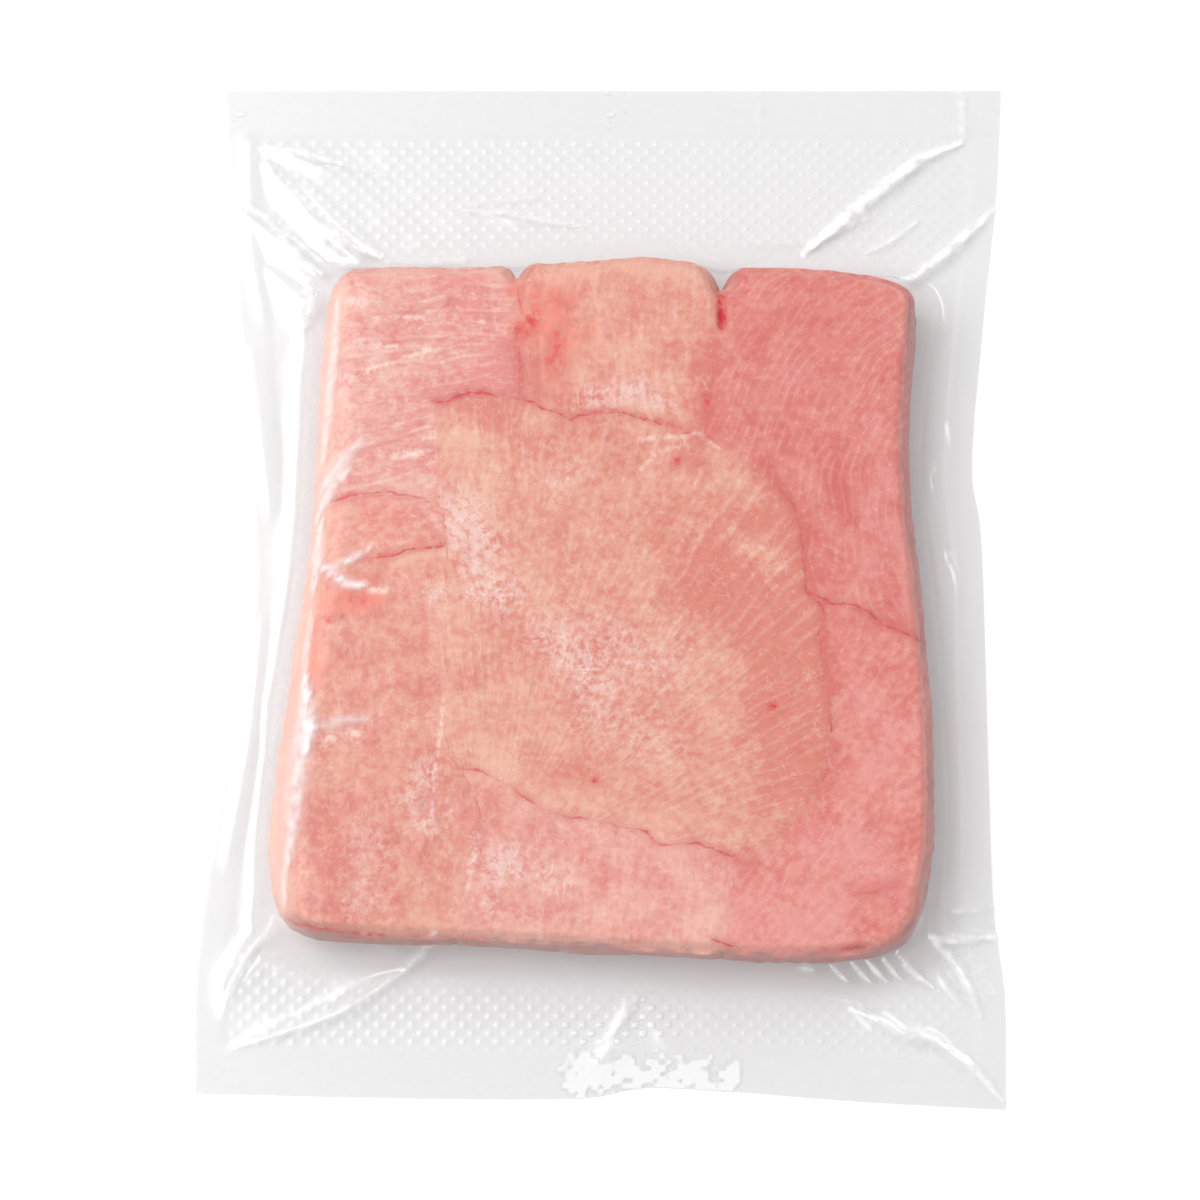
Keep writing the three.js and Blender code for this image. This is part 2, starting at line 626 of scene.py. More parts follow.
def move_points(piece: bpy.types.Object, points: np.ndarray) -> None:
    """Puts the piece's points where they are wanted, in millimetres."""
    piece.data.vertices.foreach_set("co", (points * MM).ravel())
    piece.data.update()


def paint_points(piece: bpy.types.Object, name: str, values: np.ndarray) -> None:
    """Paints one value on each of the piece's points."""
    layer = piece.data.attributes.new(name, "FLOAT", "POINT")
    layer.data.foreach_set("value", values.astype(np.float32))


def paint_colours(piece: bpy.types.Object, name: str, colours: np.ndarray) -> None:
    """Paints one colour on each of the piece's points."""
    layer = piece.data.attributes.new(name, "FLOAT_COLOR", "POINT")
    layer.data.foreach_set("color", colours.astype(np.float32).ravel())


def dress(piece: bpy.types.Object, material: bpy.types.Material) -> None:
    """Gives a piece its finish and ties it to the frame.

    Args:
        piece: the piece.
        material: its material.
    """
    piece.data.materials.clear()
    piece.data.materials.append(material)
    for face in piece.data.polygons:
        face.use_smooth = True
    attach(piece, BODY)
    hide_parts(POUCH_NODE)
    log.info("%s: %d points, %d faces", piece.name, len(piece.data.vertices), len(piece.data.polygons))


class Stain(Enum):
    """What a mark is, named as the value painted on the points."""

    BLOOD = "blood"
    AMBER = "amber"
    SHADE = "shade"
    FROST = "frost"
    WHITE = "white"
    PALE = "pale"
    LEAN = "lean"
    # milky welds and crinkles, and painted highlights and glare
    MILK_AND_HIGHLIGHT = "milk_and_highlight"  # only on the film


@dataclass(frozen=True)
class Mark:
    """A stain along a line, or round a single spot."""

    path: Path
    width: float
    strength: float = 1.0
    tapered: bool = False  # whether it gets narrower towards its ends

    def on(self, spots: np.ndarray) -> np.ndarray:
        """How strong the mark is at each spot.

        Args:
            spots: the spots, with two columns.

        Returns:
            Its strength there.
        """
        line = np.array(self.path * 2 if len(self.path) == 1 else self.path, float)
        near = close_to(line, spots, 2.6 * self.width)
        shown = np.zeros(len(spots))
        nearest = nearness(line, spots[near])
        width = self.width * (0.3 + 0.7 * np.sin(math.pi * nearest.share) if self.tapered else 1)
        shown[near] = self.strength * np.exp(-((nearest.distance / width) ** 2))
        return shown


class GrainRun(Enum):
    """How a fillet's muscle lines run."""

    ARC = "round a far middle"
    FAN = "out of a far middle"
    LEVEL = "side by side, steeper towards the front"


@dataclass(frozen=True)
class Grain:
    """The run of the muscle lines over a fillet."""

    run: GrainRun
    middle: tuple[float, float]
    reach: float = 90.0

    def across_and_along(self, spots: np.ndarray) -> tuple[np.ndarray, np.ndarray]:
        """How far each spot is across the lines and along them.

        Args:
            spots: the spots, with two columns.

        Returns:
            Both distances.
        """
        apart = spots - np.array(self.middle)
        radius = np.linalg.norm(apart, axis=1)
        x, y = -self.middle[0], -self.middle[1]  # towards the block's middle
        turn = np.arctan2(x * apart[:, 1] - y * apart[:, 0], x * apart[:, 0] + y * apart[:, 1])
        if self.run is GrainRun.ARC:
            return radius, turn * self.reach
        if self.run is GrainRun.FAN:
            return turn * self.reach, radius
        slope = 0.36 * np.clip(-apart[:, 1] / self.reach, 0, 1.2)
        return apart[:, 1] - apart[:, 0] * slope, apart[:, 0] + apart[:, 1] * slope


@dataclass(frozen=True)
class Seam:
    """Where two fillets meet: its line, how deep it is pressed in and how dark it is."""

    path: Path
    depth: float
    stain: float = 0.5
    width: float = 0.75


@dataclass(frozen=True)
class Fillet:
    """One fillet of the upper layer: its edges, its height and its grain."""

    name: str
    edges: tuple[str, ...]  # seams and stretches of the block's edge, clockwise
    grain: Grain
    finish: FleshFinish
    lift: float = 0.0


@dataclass
class Block:
    """The pressed block: its outline, its seams and the height of its top."""

    top: float = 21.3
    crown: float = 1.0
    crown_reach: float = 9.0
    waist: float = 9.5
    round_in: float = 3.6  # how far in the side's rounding starts
    round_more: float = 5.4  # how much further it starts at the left side
    step: float = 1.1
    notches: tuple = ((-23.2, 3.6, 1.9), (28.4, 6.4, 2.6))  # place, depth and half width
    back_side: float = 70.0  # only what lies further back is pressed in by these gaps
    edge: Path = (
        (-68.6, 75.6), (-61, 78.6), (-36, 78.8), (-7, 80.2), (10, 81.4), (27, 79), (48, 78.2), (66, 76.4),
        (75.4, 73.0), (77.2, 66), (74.7, 38), (75.2, 16), (77.0, -4), (79.0, -32), (79.3, -62), (77.4, -78),
        (73.2, -90.4), (64, -95.2), (46, -96.6), (12, -95.2), (-26, -92.8), (-64, -91.2), (-76.2, -89.0),
        (-81.2, -81), (-82.4, -62), (-77.4, -20), (-74.0, 8), (-72.6, 40), (-71.0, 64),
    )
    swells: tuple = (
        (-50, 55, 24, -0.4), (2, 55, 22, 0.4), (52, 40, 26, -0.3), (8, -12, 40, 0.4),
        (-60, -8, 18, -0.6), (66, -45, 20, -0.4), (-40, -66, 24, 0.2), (-20, 36, 14, 0.2),
        (62, -6, 12, 0.25), (-10, -78, 20, -0.3),
    )
    seams: dict[str, Seam] = field(default_factory=lambda: {
        "left_back": Seam(((-22.9, 70.4), (-22, 66.5), (-21.8, 64.4), (-23, 58.7), (-22.2, 51.4),
                           (-22.7, 43)), 0.15, 0.6),
        "right_back": Seam(((28.4, 66.4), (28.4, 63.1), (28.1, 56.8), (26.8, 49.8), (24.8, 42.5),
                            (24, 33.7)), 0.12, 0.3),
        "left_fold": Seam(((-43.2, 42), (-38.9, 43), (-35.7, 44.6), (-30.4, 44.1), (-22.7, 43)), 0.4, 1.5),
        "middle_fold": Seam(((-22.7, 43), (-18.7, 41.5), (-13.2, 39.4), (-9.9, 37.1), (-7.9, 38.1),
                             (-1.7, 39.2), (4.5, 38.6), (10.8, 37.1), (17.8, 34), (24, 33.7)), 0.15, 0.9),
        "left_upper": Seam(((-43.2, 42), (-43.4, 37.1), (-42.6, 30.6), (-42.7, 16.7)), 0.04, 0.15),
        "left_middle": Seam(((-42.7, 16.7), (-41.4, 12.6), (-40.6, 5.2)), 0.12, 0.4),
        "left_crease": Seam(((-73.6, 17.5), (-69.3, 17.5), (-61.8, 18.5), (-54.4, 18.8), (-49.4, 17.8),
                             (-42.7, 16.7)), 0.22, 0.8),
        "low_crease": Seam(((-75.2, -0.1), (-70.3, 0.6), (-64.6, 1.4), (-55.9, 2.4), (-47.8, 4.5),
                            (-40.6, 5.2)), 0.22, 0.7),
        "left_lower": Seam(((-40.6, 5.2), (-41, -3.7), (-41.5, -9.5), (-40.6, -21.4), (-40.7, -39),
                            (-39.9, -46.5), (-37.7, -50.9)), 0.0, 0.0),
        "front_step": Seam(((-37.7, -50.9), (-31.5, -51.9), (-25.4, -54.9), (-19.8, -58.6),
                            (-16.1, -61.6), (-12, -62.6), (-2.2, -64.3), (7.5, -66.3), (12.4, -69.3),
                            (21.4, -69.8), (30.7, -73)), 0.28, 0.7),
        "front_left": Seam(((-37.7, -50.9), (-34, -56.4), (-31.9, -67.8), (-34.5, -80.8),
                            (-38.1, -91.4)), 0.05, 0.1),
        "front_right": Seam(((30.7, -73), (28.9, -83.5), (27.2, -94.6)), 0.0, 0.0),
        "right_lower": Seam(((48.7, -6.5), (53.3, -12.1), (52, -17.1), (52.7, -26.4), (54, -35.2),
                             (54.6, -42)), 0.12, 0.7),
        "right_faint": Seam(((54.6, -42), (53.6, -49), (51, -56), (45.4, -63), (37.5, -70.2), (30.7, -73)),
                            0.03, 0.0),
        "right_step": Seam(((48.7, -6.5), (54.4, -9.3), (59.3, -9.8), (62.5, -11), (66.9, -13.8),
                            (73.7, -17.1), (78.6, -18.9)), 0.35, 0.85),
        "right_upper": Seam(((24, 33.7), (33.9, 26.5), (43, 18.5), (46.2, 14.4), (48.1, 3.9),
                             (48.7, -6.5)), 0.1, 0.45),
    })
    creases: tuple[Seam, ...] = (  # folds within one fillet
        Seam(((-59, -6.2), (-54.4, 0.1), (-49.8, 3.4), (-43.6, 3.8), (-37.6, 3.2), (-34.6, 1.4)), 0.2, 0.1),
        Seam(((22.5, -8.8), (28.7, 0.1), (33.5, 4.5), (37.4, 4.5), (41.6, 2.4), (46.5, -5)), 0.2, 0.1),
        Seam(((57.1, 28.3), (58.2, 21.1), (59.6, 14.4), (61.8, 10.1), (65.5, 7.3)), 0.35, 0.6),
        Seam(((61.4, -81.8), (65.8, -81.1), (67.8, -79.6), (71, -78.9)), 0.5, 1.0),
        Seam(((28.4, 70), (28.4, 61.8)), 2.2, 1.3, 0.7),
        Seam(((-75.7, -45.2), (-71.5, -43.5), (-62, -42.2), (-56.1, -44)), 0.3, 0.15),
        Seam(((56.9, -95.4), (61.7, -94.6)), 0.8, 0.8, 0.5),
        Seam(((25.9, -93.2), (29.5, -94.5)), 0.7, 0.7, 0.5),
        Seam(((-72, -11), (-67.5, -9), (-62.5, -7.5), (-59, -7.5)), 0.5, 0.3),
    )

    def __post_init__(self) -> None:
        """Works out the outline's and the seams' curves."""
        self.outline = self._notched(spline(self.edge, self.step, closed=True), 1.0)
        self.uneven = Unevenness(7)
        self.lines = {name: self._wavering(seam.path) for name, seam in self.seams.items()}

    def _notched(self, outline: np.ndarray, share: float) -> np.ndarray:
        """Presses the fillets' gaps into the outline's back side.

        Args:
            outline: the outline.
            share: how much of each gap's depth is pressed in.

        Returns:
            The pressed outline.
        """
        pressed = outline.copy()
        for x, depth, half_width in self.notches:
            dip = depth * share * np.exp(-(((outline[:, 0] - x) / half_width) ** 2))
            pressed[:, 1] -= np.where(outline[:, 1] > self.back_side, dip, 0)
        return pressed

    def _wavering(self, path: Path) -> np.ndarray:
        """Runs a curve through points that wavers a little between its ends.

        Args:
            path: the points, in order.

        Returns:
            The curve's samples, one row each.
        """
        line = spline(path, self.step)
        place = np.column_stack([line, np.zeros(len(line))])
        held = np.minimum(np.arange(len(line)), np.arange(len(line))[::-1])
        sway = np.column_stack([self.uneven.at(place + shift, 2.4) for shift in (0, 40)])
        return line + 0.5 * sway * smooth(held, 0, 4)[:, None]

    def film_outline(self, gap: float) -> np.ndarray:
        """The outline that the film takes, which hardly follows the fillets' gaps.

        Args:
            gap: how far the film stays off the block.

        Returns:
            The outline.
        """
        plain = self._notched(spline(self.edge, self.step, closed=True), 0.15)
        run = np.roll(plain, -1, axis=0) - np.roll(plain, 1, axis=0)
        run /= np.linalg.norm(run, axis=1)[:, None]
        return plain + gap * np.column_stack([-run[:, 1], run[:, 0]])

    def rounding(self, near: Nearness) -> np.ndarray:
        """How far in the side's rounding starts near each spot.

        Args:
            near: how the spots lie to the block's outline.

        Returns:
            The distances from the outline.
        """
        west = np.clip(-near.normal[:, 0], 0, 1) ** 2
        south = np.clip(-near.normal[:, 1], 0, 1) ** 2
        return self.round_in + self.round_more * west - 1.3 * south

    def height(self, spots: np.ndarray, depth_in: np.ndarray) -> np.ndarray:
        """The height of the block's top without its seams.

        Args:
            spots: the spots, with two columns.
            depth_in: how far each lies inside the block's outline.

        Returns:
            The heights.
        """
        height = self.top - self.crown * np.exp(-np.maximum(depth_in, 0) / self.crown_reach)
        for x, y, radius, rise in self.swells:
            distance = np.hypot(spots[:, 0] - x, spots[:, 1] - y) / radius
            height += rise * np.exp(-distance ** 2)
        place = np.column_stack([spots, np.zeros(len(spots))])
        return height + 0.12 * self.uneven.at(place, 9) - 0.05

    def grooves(self, spots: np.ndarray) -> tuple[np.ndarray, np.ndarray, np.ndarray, np.ndarray]:
        """How deep the seams and the creases press in, and how dark they are.

        Args:
            spots: the spots, with two columns.

        Returns:
            The depth, the seams' darkness, the distance from the nearest crease, which is below 0
            on one side of it, and the creases' darkness.
        """
        depth = np.zeros(len(spots))
        place = np.column_stack([spots, np.zeros(len(spots))])
        waver = 0.65 + 1.0 * self.uneven.at(place, 6)
        looks = []
        creases = [(crease, spline(crease.path, self.step)) for crease in self.creases]
        for lines in ([(seam, self.lines[name]) for name, seam in self.seams.items()], creases):
            apart = np.full(len(spots), 9.0)
            dark = np.zeros(len(spots))
            for seam, line in lines:
                close = close_to(line, spots, 7)
                near = nearness(line, spots[close])
                pressed = 0.7 * np.exp(-((near.distance / seam.width) ** 2))
                pressed += 0.3 * np.exp(-((near.distance / (3.2 * seam.width)) ** 2))
                depth[close] = np.maximum(depth[close], seam.depth * pressed)
                nearer = near.distance < np.abs(apart[close])
                dark[close] = np.where(nearer, seam.stain, dark[close])
                apart[close] = np.where(nearer, near.outward, apart[close])
            looks.append((apart, dark * np.clip(waver, 0.1, 1.2) * smooth(np.abs(apart), 3.5, 2.0)))
        return depth * np.clip(waver, 0.3, 1.2), looks[0][1], *looks[1]

    def edge_between(self, start: np.ndarray, end: np.ndarray) -> np.ndarray:
        """The outline's stretch between two spots, clockwise.

        Args:
            start: a spot near its start.
            end: a spot near its end.

        Returns:
            The stretch's points.
        """
        first = int(np.argmin(np.linalg.norm(self.outline - start, axis=1)))
        last = int(np.argmin(np.linalg.norm(self.outline - end, axis=1)))
        count = (last - first) % len(self.outline)
        return self.outline[(first + np.arange(count + 1)) % len(self.outline)]

    def around(self, edges: tuple[str, ...]) -> np.ndarray:
        """A fillet's whole outline.

        Args:
            edges: its seams, clockwise, with a minus before one that runs the other way,
                and "edge" for a stretch of the block's own edge.

        Returns:
            The outline's points.
        """
        seams = [
            None if name == "edge" else self.lines[name.lstrip("-")][:: -1 if name[0] == "-" else 1]
            for name in edges
        ]
        parts = []
        for index, seam in enumerate(seams):
            if seam is None:
                seam = self.edge_between(seams[index - 1][-1], seams[(index + 1) % len(seams)][0])
            parts.append(seam[:-1])
        return np.vstack(parts)


# name, lean and pale colour, band, and how much the bands, the streaks and the fibres show
FLESH = {
    "rosy": FleshFinish("rosy_flesh", paint(217, 135, 127), paint(229, 180, 166), 3.4, 0.5, 1.3, 0.9),
    "flap": FleshFinish("flap_flesh", paint(217, 128, 115), paint(229, 174, 154), 3.6, 0.3, 0.7),
    "lower": FleshFinish("lower_flesh", paint(210, 123, 110), paint(225, 167, 146), 3.8, 0.1, 0.5),
    "back": FleshFinish("back_flesh", paint(211, 121, 107), paint(225, 166, 145), 4.0, 0.3, 0.6, 0.8),
    "right": FleshFinish("right_flesh", paint(206, 104, 97), paint(218, 136, 126), 2.4, 0.24, 0.6, 0.25),
    "centre": FleshFinish("centre_flesh", paint(211, 126, 110), paint(225, 169, 146), 4.2, 0.3, 0.5),
    "strip": FleshFinish("strip_flesh", paint(217, 133, 122), paint(229, 173, 158), 3.8, 0.1, 0.5),
    "end": FleshFinish("end_flesh", paint(209, 106, 99), paint(224, 147, 136), 4.0, 0.15, 0.4, 0.5),
    "under": FleshFinish("under_flesh", paint(202, 124, 114), paint(223, 160, 146), 3.8, 0.2, 0.6),
}

UPPER_FILLETS = (
    Fillet("fillet_top_left",
           ("edge", "left_back", "-left_fold", "left_upper", "-left_crease"),
           Grain(GrainRun.LEVEL, (-58, 62), 38), FLESH["rosy"], -0.05),
    Fillet("fillet_left_flap",
           ("edge", "left_crease", "left_middle", "-low_crease"),
           Grain(GrainRun.LEVEL, (-58, 40), 38), FLESH["flap"], -0.15),
    Fillet("fillet_lower_left",
           ("edge", "low_crease", "left_lower", "front_left"),
           Grain(GrainRun.ARC, (-260, -30), 200), FLESH["lower"], -0.1),
    Fillet("fillet_top_middle",
           ("edge", "right_back", "-middle_fold", "-left_back"),
           Grain(GrainRun.ARC, (120, 60), 120), FLESH["back"], 0.0),
    Fillet("fillet_top_right",
           ("edge", "-right_step", "-right_upper", "-right_back"),
           Grain(GrainRun.ARC, (112, 12), 80), FLESH["right"], 0.1),
    Fillet("fillet_centre",
           ("left_fold", "middle_fold", "right_upper", "right_lower", "right_faint", "-front_step",
            "-left_lower", "-left_middle", "-left_upper"),
           Grain(GrainRun.FAN, (-30, -78), 105), FLESH["centre"], 0.25),
    Fillet("fillet_front_strip",
           ("-front_left", "front_step", "front_right", "edge"),
           Grain(GrainRun.ARC, (-250, -60), 200), FLESH["strip"], -0.2),
    Fillet("fillet_lower_right",
           ("right_step", "edge", "-front_right", "-right_faint", "-right_lower"),
           Grain(GrainRun.FAN, (-20, -160), 150), FLESH["end"], -0.2),
)

MARKS: dict[Stain, tuple[Mark, ...]] = {
    Stain.AMBER: (
        # gaps and folds at the back side
        Mark(((-24.6, 71.5), (-22.6, 76.5)), 1.5, 1.2),
        Mark(((-20.5, 63), (-17.5, 68.5), (-12.5, 69)), 4.5, 0.8),
        Mark(((-14, 64), (-11, 57), (-14, 51)), 4.5, 0.9),
        Mark(((-4.5, 62), (-3.5, 59)), 1.8, 0.5),
        # top left fillet: dark scratches, white lines and its peach edge
        Mark(((-64, 74), (-52, 74), (-36, 74.5), (-26, 74.5)), 2.4, 0.3),
        # left side
        Mark(((-73, -11), (-66, -9), (-59, -8)), 3.4, 1.4),
        Mark(((-73.5, -16), (-71.5, -26)), 3.2, 0.9),
    ),
    Stain.BLOOD: (
        # gaps and folds at the back side
        Mark(((28.4, 70), (28.4, 62.5)), 0.9, 1.4),
        Mark(((24, 44), (25.5, 40.5), (25, 36)), 0.8, 0.35),
        Mark(((-4, 39.6), (3, 39.8)), 0.6, 0.4),
        Mark(((12, 37.6), (18, 35.2)), 0.6, 0.4),
        Mark(((-23.5, 61), (-22.6, 59.6)), 1.4, 0.4),
        Mark(((-25.5, 57), (-23.2, 56)), 1.6, 0.3),
        Mark(((-20.5, 63), (-17.5, 68.5), (-12.5, 69)), 2.6, 0.3),
        Mark(((-20.5, 60), (-19, 63.5)), 1.8, 0.4),
        Mark(((-12.5, 60), (-13, 56), (-13.5, 53)), 1.8, 0.5),
        # top middle fillet
        Mark(((24.7, 43.6), (24.2, 40)), 0.8, 0.3),
        # centre fillet
        Mark(((17, 26.8),), 1.3, 0.7),
        Mark(((40.3, -36),), 0.9, 1.2),
        Mark(((40.3, -36.5),), 3.2, 0.3),
        Mark(((46.5, -46),), 2.4, 0.28),
        Mark(((-3.4, -53.9),), 0.8, 0.9),
        Mark(((-3.4, -53.9),), 2.0, 0.25),
        Mark(((30.9, -73.4),), 1.8, 0.3),
        # left side
        Mark(((-67, 18.6), (-60.5, 18), (-52, 17)), 0.7, 0.3),
        Mark(((-65.5, 2.4), (-59, 2.4), (-53, 3)), 0.8, 0.4),
        Mark(((-64, -8.2), (-61, -8.8)), 1.1, 0.5),
        Mark(((-69.5, -13.6), (-68.2, -13.4)), 0.7, 0.8),
        # lower right fillet
        Mark(((-78.4, -87.4), (-76, -88.7), (-72, -89.7), (-64, -91), (-55, -91.6)), 0.7, 0.6, True),
    ),
    Stain.SHADE: (
        # gaps and folds at the back side
        Mark(((-6, 39.5), (4, 39.5), (14, 37), (22, 34.5)), 1.2, 0.45),
        Mark(((27.4, 72), (28.2, 66)), 2.0, 0.6),
        Mark(((-23, 54), (-23.5, 48)), 1.8, 0.5),
        Mark(((-26, 44.5), (-23, 44.5)), 1.6, 0.5),
        Mark(((-15, 52), (-12, 50)), 3.5, 0.45),
        Mark(((-19, 50), (-16, 44)), 2.6, 0.4),
        # top left fillet: dark scratches, white lines and its peach edge
        Mark(((-59.5, 65), (-55, 65.6), (-47.5, 65.5)), 0.42, 0.7),
        Mark(((-48.5, 68.4), (-47, 66.8), (-44.5, 67.2)), 0.5, 0.7),
        Mark(((-41, 67.2), (-40, 69), (-39.3, 66.6)), 0.6, 0.6),
        Mark(((-66.5, 53.5), (-64.5, 53)), 0.6, 0.6),
        Mark(((-67, 47), (-65, 48.5), (-62.5, 50)), 0.55, 0.6),
        Mark(((-64.5, 29), (-59, 30.5), (-52.5, 32.5)), 0.42, 0.5),
        Mark(((-56, 57.6), (-52.5, 58), (-47.5, 56.4)), 0.45, 0.5),
        Mark(((-46, 30.5), (-42.8, 29.8)), 1.2, 0.6),
        # top right fillet
        Mark(((43.5, 29.6), (46, 28.8)), 1.2, 0.75),
        Mark(((42, 22), (45.6, 16), (46.6, 9)), 1.3, 0.4),
        Mark(((60, -10.6), (67, -13.4), (74, -17)), 1.3, 0.5),
        # centre fillet
        Mark(((16, 25.5), (22, 28)), 2.6, 0.35),
        # left side
        Mark(((-42.5, 8), (-40.8, 5.4)), 1.2, 0.8),
        Mark(((-70.8, -13.3), (-66.1, -12.6)), 1.0, 1.0),
        # lower left fillet
        Mark(((-43.5, -57), (-46, -61)), 1.6, 0.5),
        Mark(((-42.6, -62), (-41.4, -64.4)), 0.9, 0.7),
        # lower right fillet
        Mark(((72.1, -55.2),), 0.7, 0.9),
        Mark(((61.5, -82), (66, -81), (70, -79)), 2.4, 0.35),
        Mark(((27, -71.5), (33, -74.4)), 1.2, 0.4),
        Mark(((57, -95), (61.7, -94.4)), 0.6, 0.9),
        Mark(((-79, -87), (-70, -91), (-50, -92.4), (-30, -93)), 1.2, 0.8),
    ),
    Stain.LEAN: (
        # gaps and folds at the back side
        Mark(((-36, 66), (-27, 56), (-28, 48), (-36, 46)), 9.0, 0.6),
        Mark(((-34, 42), (-22, 30), (0, 34)), 6.0, 0.3),
        # top middle fillet
        Mark(((26, 56), (24.5, 46.5), (23.5, 40), (22.5, 34)), 4.0, 0.4),
        # top right fillet
        Mark(((39, 24.5), (44, 16.5), (46, 9), (48, -2)), 3.4, 0.5),
        Mark(((55.5, 24.5), (58, 16.5), (60.5, 11.5)), 3.0, 0.6),
        # centre fillet
        Mark(((33, 14), (45, 4), (47, -4)), 5.0, 0.45),
        Mark(((24, 0), (40, -16), (42, -34), (46, -52)), 9.0, 1.0),
        # left side
        Mark(((-62, 10), (-50, 10)), 6.0, 0.25),
        # lower left fillet
        Mark(((-70, -66), (-66, -84)), 6.0, 0.35),
        # front strip
        Mark(((-30, -57), (-28, -64)), 4.0, 0.3),
        # lower right fillet
        Mark(((50, -12), (53, -30), (53, -46)), 2.4, 0.5),
    ),
    Stain.WHITE: (
        # top left fillet: dark scratches, white lines and its peach edge
        Mark(((-59.5, 64), (-52.5, 64.4), (-44.5, 64)), 0.4, 0.75),
        Mark(((-61.5, 50), (-57.5, 51.5), (-51, 54), (-45, 55.5)), 0.5, 0.6),
        Mark(((-69, 49.5), (-64.5, 49)), 0.7, 0.8),
        Mark(((-53.5, 28.2), (-48.5, 28.9), (-45, 29)), 0.8, 0.8),
        Mark(((-56, 56.8), (-51, 56.9), (-45, 56.4)), 0.4, 0.7),
        Mark(((-62, 57.6), (-58, 57)), 0.8, 0.45),
        Mark(((-32.5, 63.5), (-30, 62.2), (-26, 60.2)), 0.5, 0.5),
        Mark(((-69, 24.5), (-65, 22.5)), 2.0, 0.4),
        Mark(((-65, 68.5), (-62, 68)), 1.4, 0.35),
        # top middle fillet
        Mark(((21, 34), (23.5, 33.5)), 0.6, 0.6),
        Mark(((23.5, 32.4), (25.6, 31.4), (27.4, 30)), 0.5, 0.45),
        # centre fillet
        Mark(((8, 32), (11.5, 33), (20, 33)), 0.6, 0.45),
        Mark(((8, 24.5), (11.5, 28.5), (19, 31)), 0.6, 0.4),
        Mark(((33.5, 4.8), (37.4, 4.8), (41.6, 2.8), (44.6, -1.4)), 0.5, 0.25),
        # left side
        Mark(((-66.2, -3.9), (-62.8, -4.2), (-58.8, -5.7), (-55.6, -6)), 0.9, 0.85),
        # lower left fillet
        Mark(((-71.5, -43.5), (-66, -42.5), (-61, -42)), 1.4, 0.55),
        Mark(((-40.8, -34), (-41, -39), (-42.8, -52.9), (-43.2, -63.8)), 0.4, 0.55),
        # front strip
        Mark(((-33, -67.8), (-32.4, -69.4)), 0.9, 1.0),
        Mark(((-32.1, -71), (-33.8, -74.9), (-34.5, -80.3)), 0.6, 0.9),
    ),
    Stain.FROST: (
        # top middle fillet
        Mark(((-5, 43), (3, 43.5), (8, 46), (13, 42)), 3.2, 0.8),
        # centre fillet
        Mark(((-37, 12), (-33, 1.5), (-31, -5), (-25.5, -8)), 5.0, 0.85),
        Mark(((-39.5, 17), (-34.5, 11.5), (-29.5, 5)), 6.0, 0.35),
        Mark(((-43, -8),), 2.6, 0.8),
        Mark(((-12, 22), (-8.5, 24.5)), 3.0, 0.5),
        Mark(((-14.5, -18), (-9, -24), (-4, -31)), 5.0, 0.75),
        Mark(((-2, -19), (7.5, -24), (13, -24.5)), 7.0, 0.45),
        Mark(((0, -40), (12, -44)), 6.0, 0.35),
        # lower left fillet
        Mark(((-45, -52.5), (-47.5, -59), (-43.5, -64)), 4.0, 0.7),
        Mark(((-58, -70), (-60, -84)), 5.0, 0.25),
        # front strip
        Mark(((-27.5, -73.5), (-19, -76), (-12, -78.5)), 4.0, 0.6),
        Mark(((-26.5, -71), (-29, -78.5), (-29.5, -84.5)), 3.2, 0.5),
    ),
    Stain.PALE: (
        # top middle fillet
        Mark(((2, 60), (8, 50), (6, 44)), 9.0, 0.25),
        Mark(((-14, 76), (2, 78), (18, 77)), 3.2, 0.5),
        # top right fillet
        Mark(((67.5, 22), (64.5, 14), (63.5, 4), (62, -5)), 4.0, 0.4),
        Mark(((65.6, 42), (66.8, 34), (69, 22)), 2.4, 0.4),
        Mark(((70.3, 11.6), (74, -2.2), (75.5, -13.8)), 2.0, 0.7),
        Mark(((72, 68), (75.5, 62)), 4.0, 0.5),
        # centre fillet
        Mark(((-38.5, 37.5), (-34.5, 27), (-33.5, 14)), 6.0, 0.4),
        Mark(((27, 0), (33.5, 3.6), (38, 3.6), (42, 0)), 1.4, 0.5),
        Mark(((-30, -49), (-10, -58), (10, -64)), 4.0, 0.25),
        # left side
        Mark(((-54, 0), (-49.8, 2.6), (-43.6, 3.6), (-38, 2.6)), 1.2, 0.5),
        # lower right fillet
        Mark(((60, -40), (58, -66), (50, -84)), 12.0, 0.3),
        Mark(((20, -86), (46, -90)), 6.0, 0.35),
    ),
}


